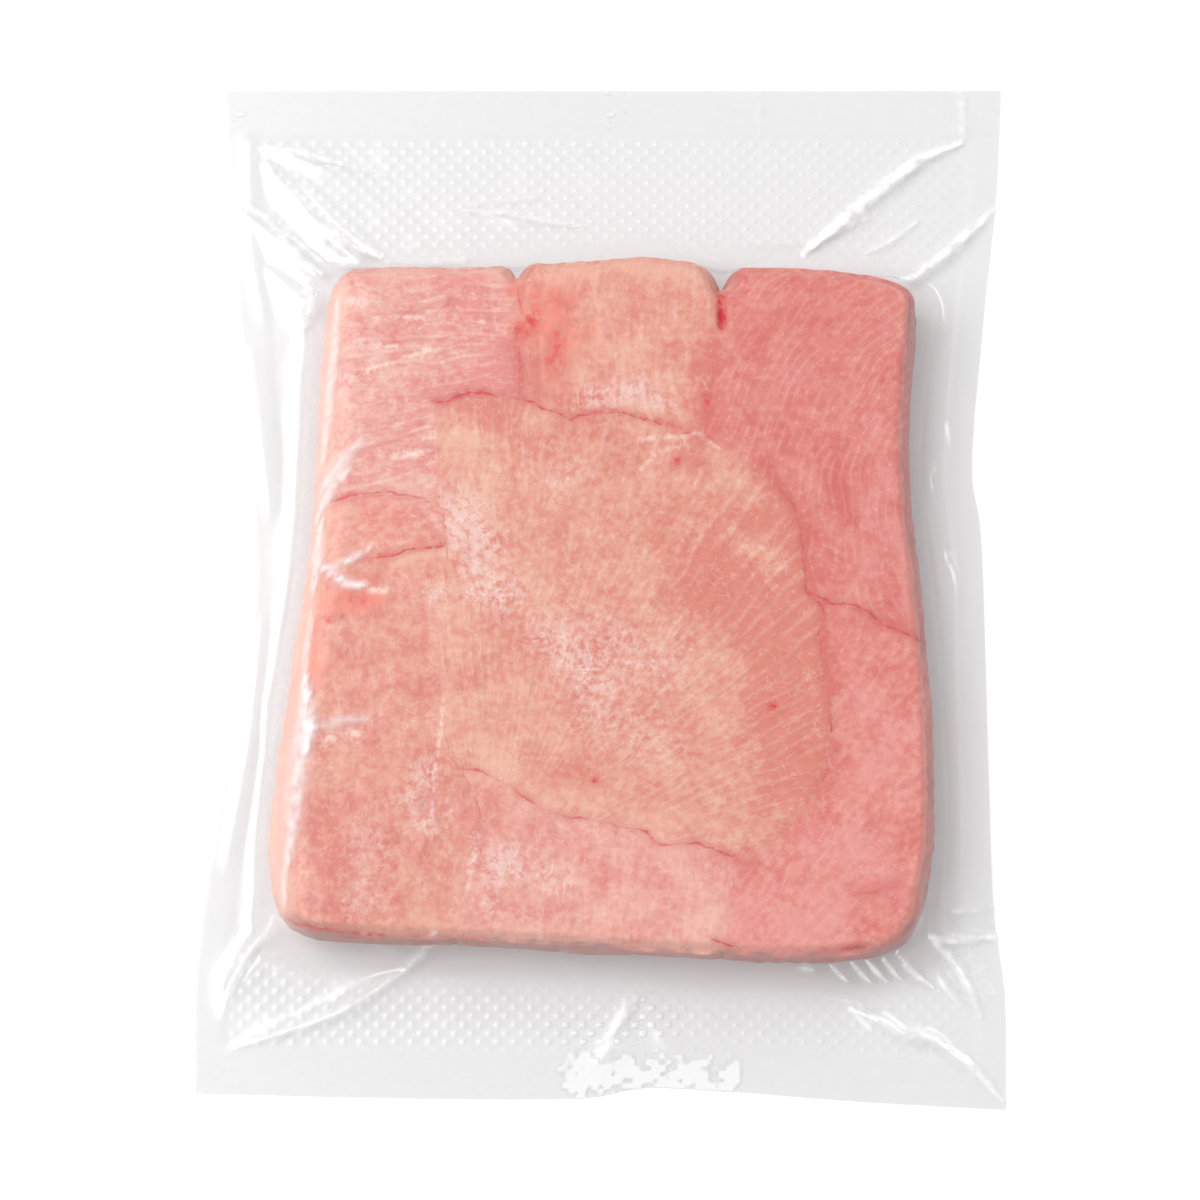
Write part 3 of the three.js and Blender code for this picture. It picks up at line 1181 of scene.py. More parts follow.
class ToneMap:
    """The fillets' own colours and heights over the block, blended where they meet."""

    STEP = 2.0
    BLEND = 2.4
    LOW = (-90.0, -104.0)
    HIGH = (90.0, 90.0)

    def __init__(self, block: Block) -> None:
        """Fills a coarse grid with every fillet's tones and blends it.

        Args:
            block: the block that the fillets make up.
        """
        x = np.arange(self.LOW[0], self.HIGH[0], self.STEP)
        y = np.arange(self.LOW[1], self.HIGH[1], self.STEP)
        spots = np.array([(one, two) for one in x for two in y])
        outward = [
            nearness(block.around(fillet.edges), spots, closed=True).outward for fillet in UPPER_FILLETS
        ]
        owner = np.argmin(outward, axis=0)
        tones = np.array([
            [*fillet.finish.lean, *fillet.finish.pale, fillet.lift] for fillet in UPPER_FILLETS
        ])
        self.grid = tones[owner].reshape(len(x), len(y), -1)
        reach = 4
        weights = np.exp(-((np.arange(-reach, reach + 1) * self.STEP / self.BLEND) ** 2))
        weights /= weights.sum()
        for axis in (0, 1):
            padding = [(reach, reach) if axis == other else (0, 0) for other in range(3)]
            padded = np.pad(self.grid, padding, mode="edge")
            count = self.grid.shape[axis]
            self.grid = sum(
                weight * np.take(padded, np.arange(start, start + count), axis=axis)
                for start, weight in enumerate(weights)
            )

    def at(self, spots: np.ndarray) -> tuple[np.ndarray, np.ndarray, np.ndarray]:
        """Reads the map.

        Args:
            spots: the spots, with two columns.

        Returns:
            The lean colour, the pale colour and the lift at each spot.
        """
        place = (spots - np.array(self.LOW)) / self.STEP
        most = np.array(self.grid.shape[:2]) - 2
        corner = np.clip(np.floor(place).astype(int), 0, most)
        part = np.clip(place - corner, 0, 1)
        total = np.zeros((len(spots), self.grid.shape[2]))
        for offset in np.ndindex(2, 2):
            weight = np.prod(np.where(offset, part, 1 - part), axis=1)
            i, j = (corner + offset).T
            total += weight[:, None] * self.grid[i, j]
        return total[:, :4], total[:, 4:8], total[:, 8]


@dataclass
class FilletLayer:
    """The fillets that show on the block's top, and those under them."""

    block: Block
    floor: float = 10.5  # where the upper layer lies on the lower one
    under: float = 0.75  # where the lower layer lies on the film
    grid: float = 0.6
    coarse_grid: float = 1.0
    overlap: float = 0.75  # how far neighbours are pressed into each other
    ridge_height: float = 0.07
    lump_height: float = 0.1
    side_start: float = 2.0  # how far below the top the look of the sides starts
    side_full: float = 3.4
    side_fade: float = 0.7  # how much of the top's marks is gone there
    # painted shade: how much it darkens the front and right sides of the upper layer
    painted_shade_share: float = 0.66  # how much duller the front and right sides are
    # painted shade on the lower layer's front and right sides
    painted_shade_under: float = 0.5
    # painted light: how much it brightens the left side
    painted_light_share: float = 0.7  # how much paler the left side is
    pale_rim: tuple[float, float] = (3.2, 0.45)  # width and strength
    amber_rim: tuple[float, float] = (2.4, 0.16)
    under_split: Path = ((6, 90), (2, 60), (10, 20), (-6, -20), (4, -60), (-14, -100))
    seed: int = 21

    def __post_init__(self) -> None:
        """Draws the unevenness and the tones that all fillets share."""
        self.uneven = Unevenness(self.seed)
        self.tones = ToneMap(self.block)

    def _slab(self, name: str, outline: np.ndarray, low: float, high: float, grid: float) -> bpy.types.Object:
        """Models a slab with upright sides and evenly spread points.

        Args:
            name: the piece's name.
            outline: its outline.
            low: the height of its underside.
            high: the height of its top.
            grid: how far apart its points are.

        Returns:
            The piece.
        """
        alone()
        bpy.ops.mesh.primitive_circle_add(vertices=len(outline), radius=0.1, fill_type="NGON")
        slab = bpy.context.object
        slab.name = name
        slab.data.name = name
        move_points(slab, np.column_stack([outline, np.full(len(outline), low)]))
        bpy.ops.object.mode_set(mode="EDIT")
        bpy.ops.mesh.select_all(action="SELECT")
        bpy.ops.mesh.extrude_region_move(TRANSFORM_OT_translate={"value": (0, 0, (high - low) * MM)})
        bpy.ops.mesh.select_all(action="SELECT")
        bpy.ops.mesh.normals_make_consistent(inside=False)
        bpy.ops.object.mode_set(mode="OBJECT")
        remesh = slab.modifiers.new("even_points", "REMESH")
        remesh.mode = "VOXEL"
        remesh.voxel_size = grid * MM
        bpy.ops.object.modifier_apply(modifier=remesh.name)
        return slab

    def _grown(self, outline: np.ndarray) -> np.ndarray:
        """Moves an outline outwards by the overlap.

        Args:
            outline: the outline, clockwise.

        Returns:
            The moved outline.
        """
        run = np.roll(outline, -1, axis=0) - np.roll(outline, 1, axis=0)
        run /= np.maximum(np.linalg.norm(run, axis=1), 1e-6)[:, None]
        return outline + self.overlap * np.column_stack([-run[:, 1], run[:, 0]])

    def _press(self, slab: bpy.types.Object, fillet: Fillet, low: float, high: float) -> None:
        """Rounds a slab at the block's edge and presses the seams and the muscles into its top.

        Args:
            slab: the slab.
            fillet: what is known of the fillet.
            low: the height of the slab's underside.
            high: the height of its top.
        """
        points = points_of(slab)
        spots = points[:, :2]
        part = np.clip((points[:, 2] - low) / (high - low), 0, 1)
        near = nearness(self.block.outline, spots, closed=True)
        within = np.maximum(-near.outward, 0)
        lean_tone, pale_tone, lift = self.tones.at(spots)
        top = self.block.height(spots, within) + lift
        grooves, dark, crease, crease_dark = self.block.grooves(spots)
        own = nearness(self.block.around(fillet.edges), spots, closed=True).outward
        across, along = fillet.grain.across_and_along(spots)
        lumps = self.uneven.at(np.column_stack([across, along, across * 0]), 2.4, (0.5, 3.0, 1))
        ridge = np.cos(2 * math.pi * (across + 0.9 * self.uneven.at(points, 11)) / fillet.finish.band)
        fade = smooth(within, 2.0, 6.0)
        relief = fade * fillet.finish.band_show * self.ridge_height * ridge + self.lump_height * lumps * fade
        relief += 0.12 * self.uneven.at(points, 3.2) + 0.05 * self.uneven.at(points, 1.3)

        reach = self.block.rounding(near)
        inner = np.minimum(within, reach)
        turn = math.pi / 4 * part * (1 + inner / reach)
        target = reach * (1 - np.cos(turn))
        shift = (target - inner * part) * smooth(within / reach, 2, 1)
        ripple = 0.45 * self.uneven.at(points, 5, (3, 3, 0.8)) + 0.3 * self.uneven.at(points, 2.2, (1, 1, 2))
        ripple = np.minimum(ripple * smooth(within, 2.2, 0.2), 0.3)
        spots = spots - near.normal * (shift - ripple - 0.15 * (part < 0.9))[:, None]
        bottom = low + self._bedding(points[:, :2])
        lifted = np.sin(turn)
        height = bottom + (top - grooves + relief - bottom) * lifted
        move_points(slab, np.column_stack([spots, height]))

        flat = points_of(slab)[:, :2]
        down = top - height
        ragged = 0.8 * self.uneven.at(points, 5) + 0.5 * self.uneven.at(points, 1.8)
        side = smooth(down + ragged, self.side_start, self.side_full)
        kept = 1 - self.side_fade * side
        paint_points(slab, "band", across)
        paint_points(slab, "run", along + points[:, 2] * 1.5)
        painted = {kind: np.zeros(len(flat)) for kind in Stain}
        for kind, marks in MARKS.items():
            for mark in marks:
                painted[kind] += mark.on(flat)
        paint_colours(slab, "lean_tone", lean_tone)
        paint_colours(slab, "pale_tone", pale_tone)
        paint_points(slab, "seam", own)
        paint_points(slab, "seam_dark", dark * kept)
        paint_points(slab, "crease", crease)
        paint_points(slab, "crease_dark", crease_dark * kept)
        west = np.clip(-near.normal[:, 0], 0, 1) ** 2 * smooth(flat[:, 0], -60, -64)
        # painted light on the left side
        paint_points(slab, "painted_light_side", self.painted_light_share * west * smooth(down, 0.3, 3.0))
        # painted shade on the front and right sides and along the top's right edge
        shaded = self.painted_shade_share * (1 - west) * (1 - np.clip(near.normal[:, 1], 0, 1))
        paint_points(slab, "painted_shade_side", shaded * np.maximum(side, 0.75 * self._east_rim(near)))
        width, strength = self.pale_rim
        painted[Stain.PALE] += strength * (np.exp(-((within / width) ** 2)) * (1 - side))
        width, strength = self.amber_rim
        painted[Stain.AMBER] += strength * np.exp(-((within / width) ** 2))
        for kind, values in painted.items():
            if values.any():
                share = 1 if kind is Stain.BLOOD else kept
                paint_points(slab, kind.value, np.clip(values, 0, 1.4) * share)

    def _bedding(self, spots: np.ndarray) -> np.ndarray:
        """How far the face between the two layers is above its mean height at each spot."""
        place = np.column_stack([spots, np.zeros(len(spots))])
        return 1.5 * self.uneven.at(place, 26) + 0.7 * self.uneven.at(place, 8)

    @staticmethod
    def _east_rim(near: Nearness) -> np.ndarray:
        """How close each spot is to the block's right edge, which lies in shade, from 0 to 1."""
        return np.clip(near.normal[:, 0], 0, 1) * smooth(near.outward, -1.1, -0.2)

    def build_upper(self) -> None:
        """Builds the fillets that show on top."""
        for fillet in UPPER_FILLETS:
            outline = self._grown(self.block.around(fillet.edges))
            slab = self._slab(fillet.name, outline, self.floor, self.block.top, self.grid)
            self._press(slab, fillet, self.floor, self.block.top)
            dress(slab, fillet.finish.material())

    def build_lower(self) -> None:
        """Builds the fillets under them, which show only in the block's sides."""
        split = spline(self.under_split, 2.0)
        for name, sign in (("fillet_under_left", -1), ("fillet_under_right", 1)):
            outline = self.block.outline
            cut = np.interp(outline[:, 1], split[::-1, 1], split[::-1, 0])
            keep = (outline[:, 0] - cut) * sign > 0
            kept = np.roll(outline, -int(np.argmax(keep & ~np.roll(keep, 1))), axis=0)
            kept = kept[: int(keep.sum())]
            seam = split if sign < 0 else split[::-1]
            low, high = sorted((kept[0, 1], kept[-1, 1]))
            seam = seam[(seam[:, 1] > low + 2) & (seam[:, 1] < high - 2)]
            fillet = Fillet(name, (), Grain(GrainRun.ARC, (200 * sign, 0), 150), FLESH["under"])
            slab = self._slab(name, np.vstack([kept, seam]), self.under, self.floor - 0.2, self.coarse_grid)
            self._lay(slab, fillet)
            dress(slab, fillet.finish.material())

    def _lay(self, slab: bpy.types.Object, fillet: Fillet) -> None:
        """Rounds a lower fillet's edges and makes its sides uneven.

        Args:
            slab: the slab.
            fillet: what is known of the fillet.
        """
        points = points_of(slab)
        spots = points[:, :2]
        near = nearness(self.block.outline, spots, closed=True)
        within = np.maximum(-near.outward, 0)
        middle = (self.under + self.floor) / 2
        bulge = 1.5 * ((points[:, 2] - middle) / (self.floor - middle)) ** 2
        bulge += 0.5 * self.uneven.at(points, 6, (3, 3, 0.7))
        spots = spots - near.normal * (np.clip(bulge + 0.25, 0, 3) * smooth(within, 5, 0))[:, None]
        part = np.clip((points[:, 2] - self.under) / (self.floor - self.under), 0, 1)
        move_points(slab, np.column_stack([spots, points[:, 2] + part * self._bedding(points[:, :2])]))
        across, along = fillet.grain.across_and_along(spots)
        paint_points(slab, "band", across)
        paint_points(slab, "run", along + points[:, 2] * 1.5)
        west = np.clip(-near.normal[:, 0], 0, 1) ** 2
        # painted light on the lower layer's left side
        paint_points(slab, "painted_light_side", self.painted_light_share * west)
        # painted shade on the lower layer's front and right sides
        paint_points(slab, "painted_shade_side", self.painted_shade_under * (1 - west) * (1 - np.clip(near.normal[:, 1], 0, 1)))
        paint_colours(slab, "lean_tone", np.tile(fillet.finish.lean, (len(points), 1)))
        paint_colours(slab, "pale_tone", np.tile(fillet.finish.pale, (len(points), 1)))


@dataclass(frozen=True)
class Tuck:
    """A fold of film: its line, and its height and half width along that line."""

    path: Path
    heights: tuple[float, ...]
    widths: tuple[float, ...]
    sharpness: float = 1.35

    def on(self, spots: np.ndarray) -> np.ndarray:
        """How high the fold lifts the film at each spot.

        Args:
            spots: the spots, with two columns.

        Returns:
            The lift.
        """
        line = spline(self.path, 1.0)
        close = close_to(line, spots, 2.6 * max(self.widths))
        near = nearness(line, spots[close])
        height = np.interp(near.share, np.linspace(0, 1, len(self.heights)), self.heights)
        width = np.interp(near.share, np.linspace(0, 1, len(self.widths)), self.widths)
        lift = np.zeros(len(spots))
        lift[close] = height * np.exp(-((near.distance / width) ** self.sharpness))
        return lift


@dataclass
class Pouch:
    """The two films, drawn over the block and lying flat round it."""

    block: Block
    upper_finish: FilmFinish = FilmFinish("clear_film_upper")
    lower_finish: FilmFinish = FilmFinish(
        "clear_film_lower", paint(249, 249, 249.4), rough=0.24, crinkled=False
    )
    gap: float = 0.6  # how far the film stays off the block
    upper_rest: float = 0.55  # height of the upper film where it lies flat
    lower_rest: float = 0.06
    drop: float = 2.6
    left: Path = ((-101.6, -128.2), (-101.8, -98), (-97.6, -62), (-92.4, -24), (-88.8, -4), (-89.2, 13),
                  (-93.6, 62), (-97.3, 104), (-99.7, 132.2))
    right: Path = ((97.3, -132.2), (97.7, -105), (95.4, -82), (94.9, -50), (94.4, 10), (92.4, 31),
                   (96, 68), (100.2, 103), (102.1, 132.2))
    front: Path = ((-101.6, -128.2), (-48, -129.4), (-8, -129.4), (7, -127), (20, -127), (60, -130.1),
                   (97.3, -132.2))
    back_y: float = 132.2
    block_ends: tuple[float, float] = (-94.0, 78.0)
    straight_sides: tuple[float, float] = (-80.0, 66.0)  # where the block's sides are clear of its corners
    straight_ends: float = 63.0  # how far from the middle its ends are clear of them
    corners: Path = ((-70, 75), (75, 74), (77, -90), (-79, -88))  # the block's
    corner_reach: float = 8.0
    highest: float = 22.2  # no fold rises above this
    side_weld: float = 8.0  # the welds' widths at the sides and at both ends
    back_weld: float = 12.9
    front_weld: float = 11.5
    pitch: float = 4.2  # from one embossed dot to the next
    dome: float = 0.3  # the dots' height
    # painted highlights on the embossed dots, stronger where painted glare lies
    painted_dot_highlight: float = 0.3
    painted_dot_glare: float = 2.2
    weld_milk: float = 0.05
    tucks: tuple[Tuck, ...] = (
        # back left corner
        Tuck(((-90, 116.5), (-81, 114), (-72, 109.5), (-66, 107)),
             (0.4, 1.3, 1.1, 0.2), (1.5, 2.4, 2.6, 1.8)),
        Tuck(((-89, 112), (-80.5, 102.5), (-74, 94), (-65, 86), (-58, 81)), (0.4, 1.8, 2.4, 2.6, 2.6),
             (1.4, 2.6, 3.2, 3.0, 2.4)),
        Tuck(((-97, 100.5), (-86.5, 92), (-77.5, 83.5), (-69, 76)),
             (0.3, 1.6, 2.4, 2.6), (1.6, 2.6, 3.0, 2.6)),
        Tuck(((-88, 84), (-80, 76), (-73, 66)), (0.2, 1.6, 2.4), (2.5, 3.2, 3.0)),
        Tuck(((-93, 118), (-92, 90), (-88, 70)), (0.5, 0.7, 0.1), (1.6, 1.6, 2.0)),
        # back right corner
        Tuck(((91, 117), (81.5, 112.4), (74.5, 107), (66.5, 101.5), (59, 94.5), (51, 87)),
             (0.3, 1.5, 1.7, 1.7, 1.5, 0.6), (1.2, 2.0, 2.4, 2.6, 2.4, 1.4)),
        Tuck(((100, 99), (94, 93.5), (89.5, 89), (84.5, 85), (74, 77)), (0.2, 1.4, 2.0, 2.2, 2.6),
             (1.2, 1.8, 2.2, 2.0, 2.2)),
        Tuck(((80, 96), (73, 90.5), (66, 86)), (0.1, 0.7, 0.3), (0.9, 1.2, 1.0)),
        Tuck(((93, 118), (93.5, 100), (95, 88)), (0.2, 0.25, 0.1), (1.4, 1.4, 1.6)),
        # front left corner
        Tuck(((-80.5, -84), (-86.5, -90.5), (-90.5, -96.5), (-93.4, -102), (-95, -109)),
             (2.8, 2.6, 2.2, 1.6, 0.2), (1.8, 1.9, 2.2, 2.2, 1.2)),
        Tuck(((-78.5, -87), (-84.5, -93.5), (-89, -99.5), (-92, -105)),
             (1.8, 1.6, 1.4, 0.2), (1.6, 1.4, 1.6, 1.2)),
        Tuck(((-38.5, -88.5), (-47, -96), (-55, -101.6), (-63.5, -107.2), (-71, -110.4), (-84, -114.6),
              (-93, -117)), (1.8, 1.5, 2.0, 2.2, 1.8, 1.2, 0.1), (1.0, 1.2, 2.4, 3.0, 2.6, 2.0, 1.2)),
        # front right corner
        Tuck(((76.5, -90.4), (83.5, -90.6), (88.5, -89.8), (97, -88)),
             (2.2, 2.0, 1.4, 0.2), (1.4, 1.6, 1.4, 1.4)),
        Tuck(((76.5, -91.4), (82, -96.2), (85.4, -101), (88.4, -105), (92, -111)), (2.4, 2.4, 2.0, 1.6, 0.1),
             (1.4, 1.9, 1.9, 1.6, 1.2)),
        Tuck(((60.5, -107.5), (68, -111.2), (72.4, -114.2), (79, -115), (84, -119.2), (88.6, -122.4),
              (90.6, -126.6), (96, -131.6)), (0.5, 1.6, 1.4, 1.9, 1.4, 1.2, 0.7, 0.3),
             (1.2, 2.4, 2.2, 2.4, 2.2, 2.0, 1.4, 1.2), 1.5),
        Tuck(((59.1, -96), (64.7, -101.3)), (1.4, 0.2), (0.9, 0.8)),
        Tuck(((66.7, -95), (72.2, -100.6)), (1.5, 0.3), (0.9, 0.8)),
        Tuck(((70.4, -94.4), (75.4, -98.7), (80.4, -102.4)), (1.6, 0.9, 0.1), (0.9, 0.9, 0.8)),
        # the middle of the front margin
        Tuck(((6.5, -101), (4, -110), (0, -119), (-4.5, -129)), (0.1, 0.7, 0.9, 0.4), (1.0, 2.0, 3.4, 4.4)),
        Tuck(((7.5, -101), (11, -110), (16, -119), (22, -129)), (0.1, 0.5, 0.7, 0.3), (1.0, 1.8, 3.0, 4.0)),
        # small ripples in the margins
        Tuck(((-33, 99), (-23, 96), (-12.5, 95)), (0.1, 0.8, 0.1), (1.0, 1.4, 1.0)),
        Tuck(((85, 70), (88.5, 64)), (0.6, 0.2), (1.2, 1.0)),
        Tuck(((87, 42), (88, 34)), (0.6, 0.2), (1.2, 1.0)),
        Tuck(((82, 30), (83.5, 21)), (0.8, 0.2), (1.0, 1.0)),
        Tuck(((85.6, 8), (87.5, 4), (88.6, -2)), (0.7, 0.6, 0.2), (0.9, 0.9, 0.9)),
        Tuck(((82.5, -10), (83.6, -18)), (0.7, 0.2), (1.0, 0.9)),
        Tuck(((89, -52), (91, -60)), (0.6, 0.2), (1.2, 1.0)),
        Tuck(((82.5, -84), (84.5, -84.6), (86, -84)), (0.8, 0.8, 0.2), (0.8, 0.8, 0.8)),
        Tuck(((86.5, -84), (94.5, -83.4)), (0.9, 0.5), (2.0, 2.0)),
        Tuck(((-92, 60), (-89, 40), (-86, 20)), (0.3, 0.8, 0.3), (2.2, 2.6, 2.2)),
        Tuck(((-88, -10), (-90, -40), (-95, -70)), (0.3, 0.7, 0.3), (2.2, 2.8, 2.4)),
    )

    haze_and_highlights: tuple[Mark, ...] = (  # where the upper film is crinkled, and where painted highlights and painted glare whiten it
        # folds at the back left corner
        Mark(((-88.9, 116.5), (-80, 114.6), (-69.4, 112.1)), 1.3, 0.75, True),
        Mark(((-69.4, 112.1), (-57.5, 109)), 1.2, 0.4),
        Mark(((-88.8, 112.4), (-84.5, 102.8), (-77.3, 96.1)), 1.6, 0.7, True),
        Mark(((-77.3, 96.1), (-67.9, 91.1), (-58.5, 86.8)), 2.2, 0.8, True),
        Mark(((-97.5, 102.8), (-88.5, 97.3), (-82.5, 88.7), (-73.6, 81.3)), 1.9, 0.65, True),
        Mark(((-82, 92.4), (-72.5, 87.4), (-66.6, 83.8)), 3.0, 0.4),
        Mark(((-77.1, 78.9), (-78.1, 67.9)), 3.6, 0.5, True),
        # painted light along the block's left side and back side
        Mark(((-77, 66), (-78, 40), (-79, 10), (-82, -20), (-87, -55), (-87, -80)), 3.4, 0.16),
        Mark(((-93, -40), (-97, -70)), 5.0, 0.08),
        Mark(((-57.3, 85.6), (-46.7, 85), (-37.4, 86)), 1.6, 0.4),
        Mark(((-37, 84.5), (0, 86.5), (60, 83)), 2.2, 0.12),
        Mark(((-37.5, 99.1), (-25.7, 98.5), (-13.9, 96.1), (-6.9, 94.8)), 1.2, 0.55, True),
        Mark(((-35.1, 101), (-18.7, 102.8)), 1.0, 0.35),
        # folds at the back right corner
        Mark(((91, 117.5), (80.5, 113), (72, 106.5), (62, 98), (50, 87.5)), 2.3, 0.85, True),
        Mark(((80, 96.5), (73, 91), (66, 87.5)), 1.0, 0.5, True),
        Mark(((66, 97), (52, 91), (38, 90.5)), 1.6, 0.35),
        Mark(((39, 131), (39, 120)), 1.0, 0.3),
        Mark(((91.5, 131.5), (91.5, 119)), 1.6, 0.5),
        Mark(((101, 101), (92, 92.5), (84, 84.5), (73, 77.5)), 2.0, 0.75, True),
        # folds at the front left corner
        Mark(((-82, -86), (-89, -94), (-94, -105)), 1.3, 0.45, True),
        Mark(((-42, -91), (-52, -99), (-64, -107), (-76, -112), (-92, -117)), 1.5, 0.45, True),
        # folds and fine streaks at the front right corner
        Mark(((54, -97.6), (59, -101)), 0.5, 0.7, True),
        Mark(((59.1, -97), (64.7, -101.3)), 0.55, 0.9, True),
        Mark(((62.8, -96.5), (68.8, -101.1)), 0.55, 1.0, True),
        Mark(((66.7, -95.9), (72.2, -100.6)), 0.5, 0.9, True),
        Mark(((70.4, -95), (75.4, -98.7), (80.4, -102.4)), 0.55, 0.9, True),
        Mark(((72, -97), (77, -100.6)), 0.6, 0.6, True),
        Mark(((46.2, -98.2), (50.6, -98.7)), 0.6, 0.5, True),
        Mark(((80, -90.8), (87.9, -90), (97, -89.3)), 1.2, 0.8, True),
        Mark(((78.3, -90.2), (83.9, -94.2), (87.2, -99.8), (91.8, -109.4)), 1.5, 0.85, True),
        Mark(((86, -92), (91, -96), (94, -103)), 3.0, 0.3),
        Mark(((83, -84), (88.1, -83.2), (96, -81.7)), 0.8, 0.6, True),
        Mark(((53.4, -104.4), (60.7, -106.1), (65.1, -109.4)), 1.4, 0.45, True),
        Mark(((65.1, -109.4), (71.8, -112.2), (79, -113.9), (82.9, -116.7)), 2.2, 0.75, True),
        Mark(((82.9, -116.7), (87.3, -119.5), (92.2, -125.1), (96.6, -130.1)), 1.4, 0.7, True),
        # white glare in the middle of the front margin
        Mark(((7.3, -103.2), (2.3, -110.5), (-1.1, -115.1)), 1.8, 0.6, True),
        # white glare along the block's left shoulder
        Mark(((-68.2, 70), (-69, 56), (-70.4, 40), (-71.4, 27)), 1.5, 0.4, True),
        Mark(((-61, 33), (-65, 28), (-72, 20)), 1.6, 0.4, True),
        Mark(((-65, 24.5), (-69, 20), (-73.4, 12)), 1.5, 0.5, True),
        Mark(((-71.6, 12), (-72.6, 4), (-73.4, -6)), 1.7, 0.55, True),
        Mark(((-72, 1), (-66, -4), (-58, -6)), 1.0, 0.6, True),
        Mark(((-70, -1), (-65.3, 1), (-58.7, 4.6)), 0.9, 0.5, True),
        Mark(((-73.4, -10), (-74.4, -19), (-75.4, -30)), 0.9, 0.4, True),
        Mark(((-74.6, -28), (-75, -40), (-76.2, -52), (-78.2, -74)), 2.4, 0.5, True),
        Mark(((-74.6, -31), (-73.2, -39), (-74.6, -47)), 1.8, 0.35, True),
        Mark(((-75, -41.5), (-68, -39.6), (-58, -38.2)), 1.4, 0.34, True),
        Mark(((-78.6, -72), (-79.4, -85.9)), 0.9, 0.35, True),
    )

    glare_end: float = 33.0  # how far right the glare reaches, as an x
    glare: tuple[Mark, ...] = (  # where the lower film shines white
        Mark(((-8, -123.6), (12, -122.8), (44, -125)), 6.4, 1.0),
        Mark(((1.5, 131), (1.5, 122)), 3.4, 0.62),
        Mark(((-95.6, 129), (-95.4, 120.5)), 2.6, 0.5),
    )
    dot_glare: tuple[Mark, ...] = (  # where its dots shine white
        Mark(((8.6, -105), (8.4, -112), (8, -117)), 6.0, 1.0),
        Mark(((-10, -113), (0, -116)), 5.0, 0.5),
    )

    def __post_init__(self) -> None:
        """Works out the curves that the films follow."""
        self.wrapped = self.block.film_outline(self.gap)
        self.uneven = Unevenness(5)
        self.left_line = spline(self.left, 2.0)
        self.right_line = spline(self.right, 2.0)
        self.front_line = spline(self.front, 2.0)

    def _margins(self, spots: np.ndarray) -> tuple[np.ndarray, np.ndarray, np.ndarray]:
        """Measures how far each spot is inside the pouch's edges.

        Args:
            spots: the spots, with two columns.

        Returns:
            Its distances from the nearer side, from the back edge and from the front edge.
        """
        left = spots[:, 0] - np.interp(spots[:, 1], self.left_line[:, 1], self.left_line[:, 0])
        right = np.interp(spots[:, 1], self.right_line[:, 1], self.right_line[:, 0]) - spots[:, 0]
        front = spots[:, 1] - np.interp(spots[:, 0], self.front_line[:, 0], self.front_line[:, 1])
        return np.minimum(left, right), self.back_y - spots[:, 1], front

    def _sheet(self, name: str, across: np.ndarray, along: np.ndarray) -> bpy.types.Object:
        """Models a flat sheet of film whose lines follow the pouch's and the block's sides.

        Args:
            name: the piece's name.
            across: where its lines cross the middle from left to right, with -1 and 1 for the
                block's sides and -2 and 2 for the pouch's.
            along: the same from front to back.

        Returns:
            The piece.
        """
        alone()
        bpy.ops.mesh.primitive_grid_add(
            x_subdivisions=len(across) - 1, y_subdivisions=len(along) - 1, size=2
        )
        sheet = bpy.context.object
        sheet.name = name
        sheet.data.name = name
        unit = points_of(sheet)[:, :2] * MM
        column = np.rint((unit[:, 0] + 1) / 2 * (len(across) - 1)).astype(int)
        row = np.rint((unit[:, 1] + 1) / 2 * (len(along) - 1)).astype(int)
        share_x, share_y = across[column], along[row]

        outline = self.wrapped
        first, last = self.straight_sides
        between = (outline[:, 1] > first) & (outline[:, 1] < last)
        west = outline[between & (outline[:, 0] < 0)]
        east = outline[between & (outline[:, 0] > 0)]
        west, east = west[np.argsort(west[:, 1])], east[np.argsort(east[:, 1])]
        between = np.abs(outline[:, 0] + 1) < self.straight_ends
        south = outline[between & (outline[:, 1] < 0)]
        north = outline[between & (outline[:, 1] > 0)]
        south, north = south[np.argsort(south[:, 0])], north[np.argsort(north[:, 0])]
        knots = np.array([-2, -1, 1, 2])
        y = np.interp(share_y, knots, [self.front_line[:, 1].mean(), *self.block_ends, self.back_y])
        x = np.zeros(len(y))
        for _ in range(2):
            left = np.interp(y, self.left_line[:, 1], self.left_line[:, 0])
            right = np.interp(y, self.right_line[:, 1], self.right_line[:, 0])
            inner_left = np.interp(y, west[:, 1], west[:, 0])
            inner_right = np.interp(y, east[:, 1], east[:, 0])
            x = np.select(
                [share_x < -1, share_x > 1],
                [left + (share_x + 2) * (inner_left - left), right + (2 - share_x) * (inner_right - right)],
                inner_left + (share_x + 1) / 2 * (inner_right - inner_left),
            )
            edge_front = np.interp(x, self.front_line[:, 0], self.front_line[:, 1])
            inner_front = np.interp(x, south[:, 0], south[:, 1])
            inner_back = np.interp(x, north[:, 0], north[:, 1])
            y = np.select(
                [share_y < -1, share_y > 1],
                [edge_front + (share_y + 2) * (inner_front - edge_front),
                 self.back_y + (2 - share_y) * (inner_back - self.back_y)],
                inner_front + (share_y + 1) / 2 * (inner_back - inner_front),
            )
        move_points(sheet, np.column_stack([x, y, np.zeros(len(x))]))
        return sheet

    def _nook(self, spots: np.ndarray) -> np.ndarray:
        """How close each spot is to one of the block's corners.

        Args:
            spots: the spots, with two columns.

        Returns:
            1 at a corner and 0 far from all of them.
        """
        distance = np.min([np.hypot(*(spots - corner).T) for corner in self.corners], axis=0)
        return np.exp(-((distance / self.corner_reach) ** 2))

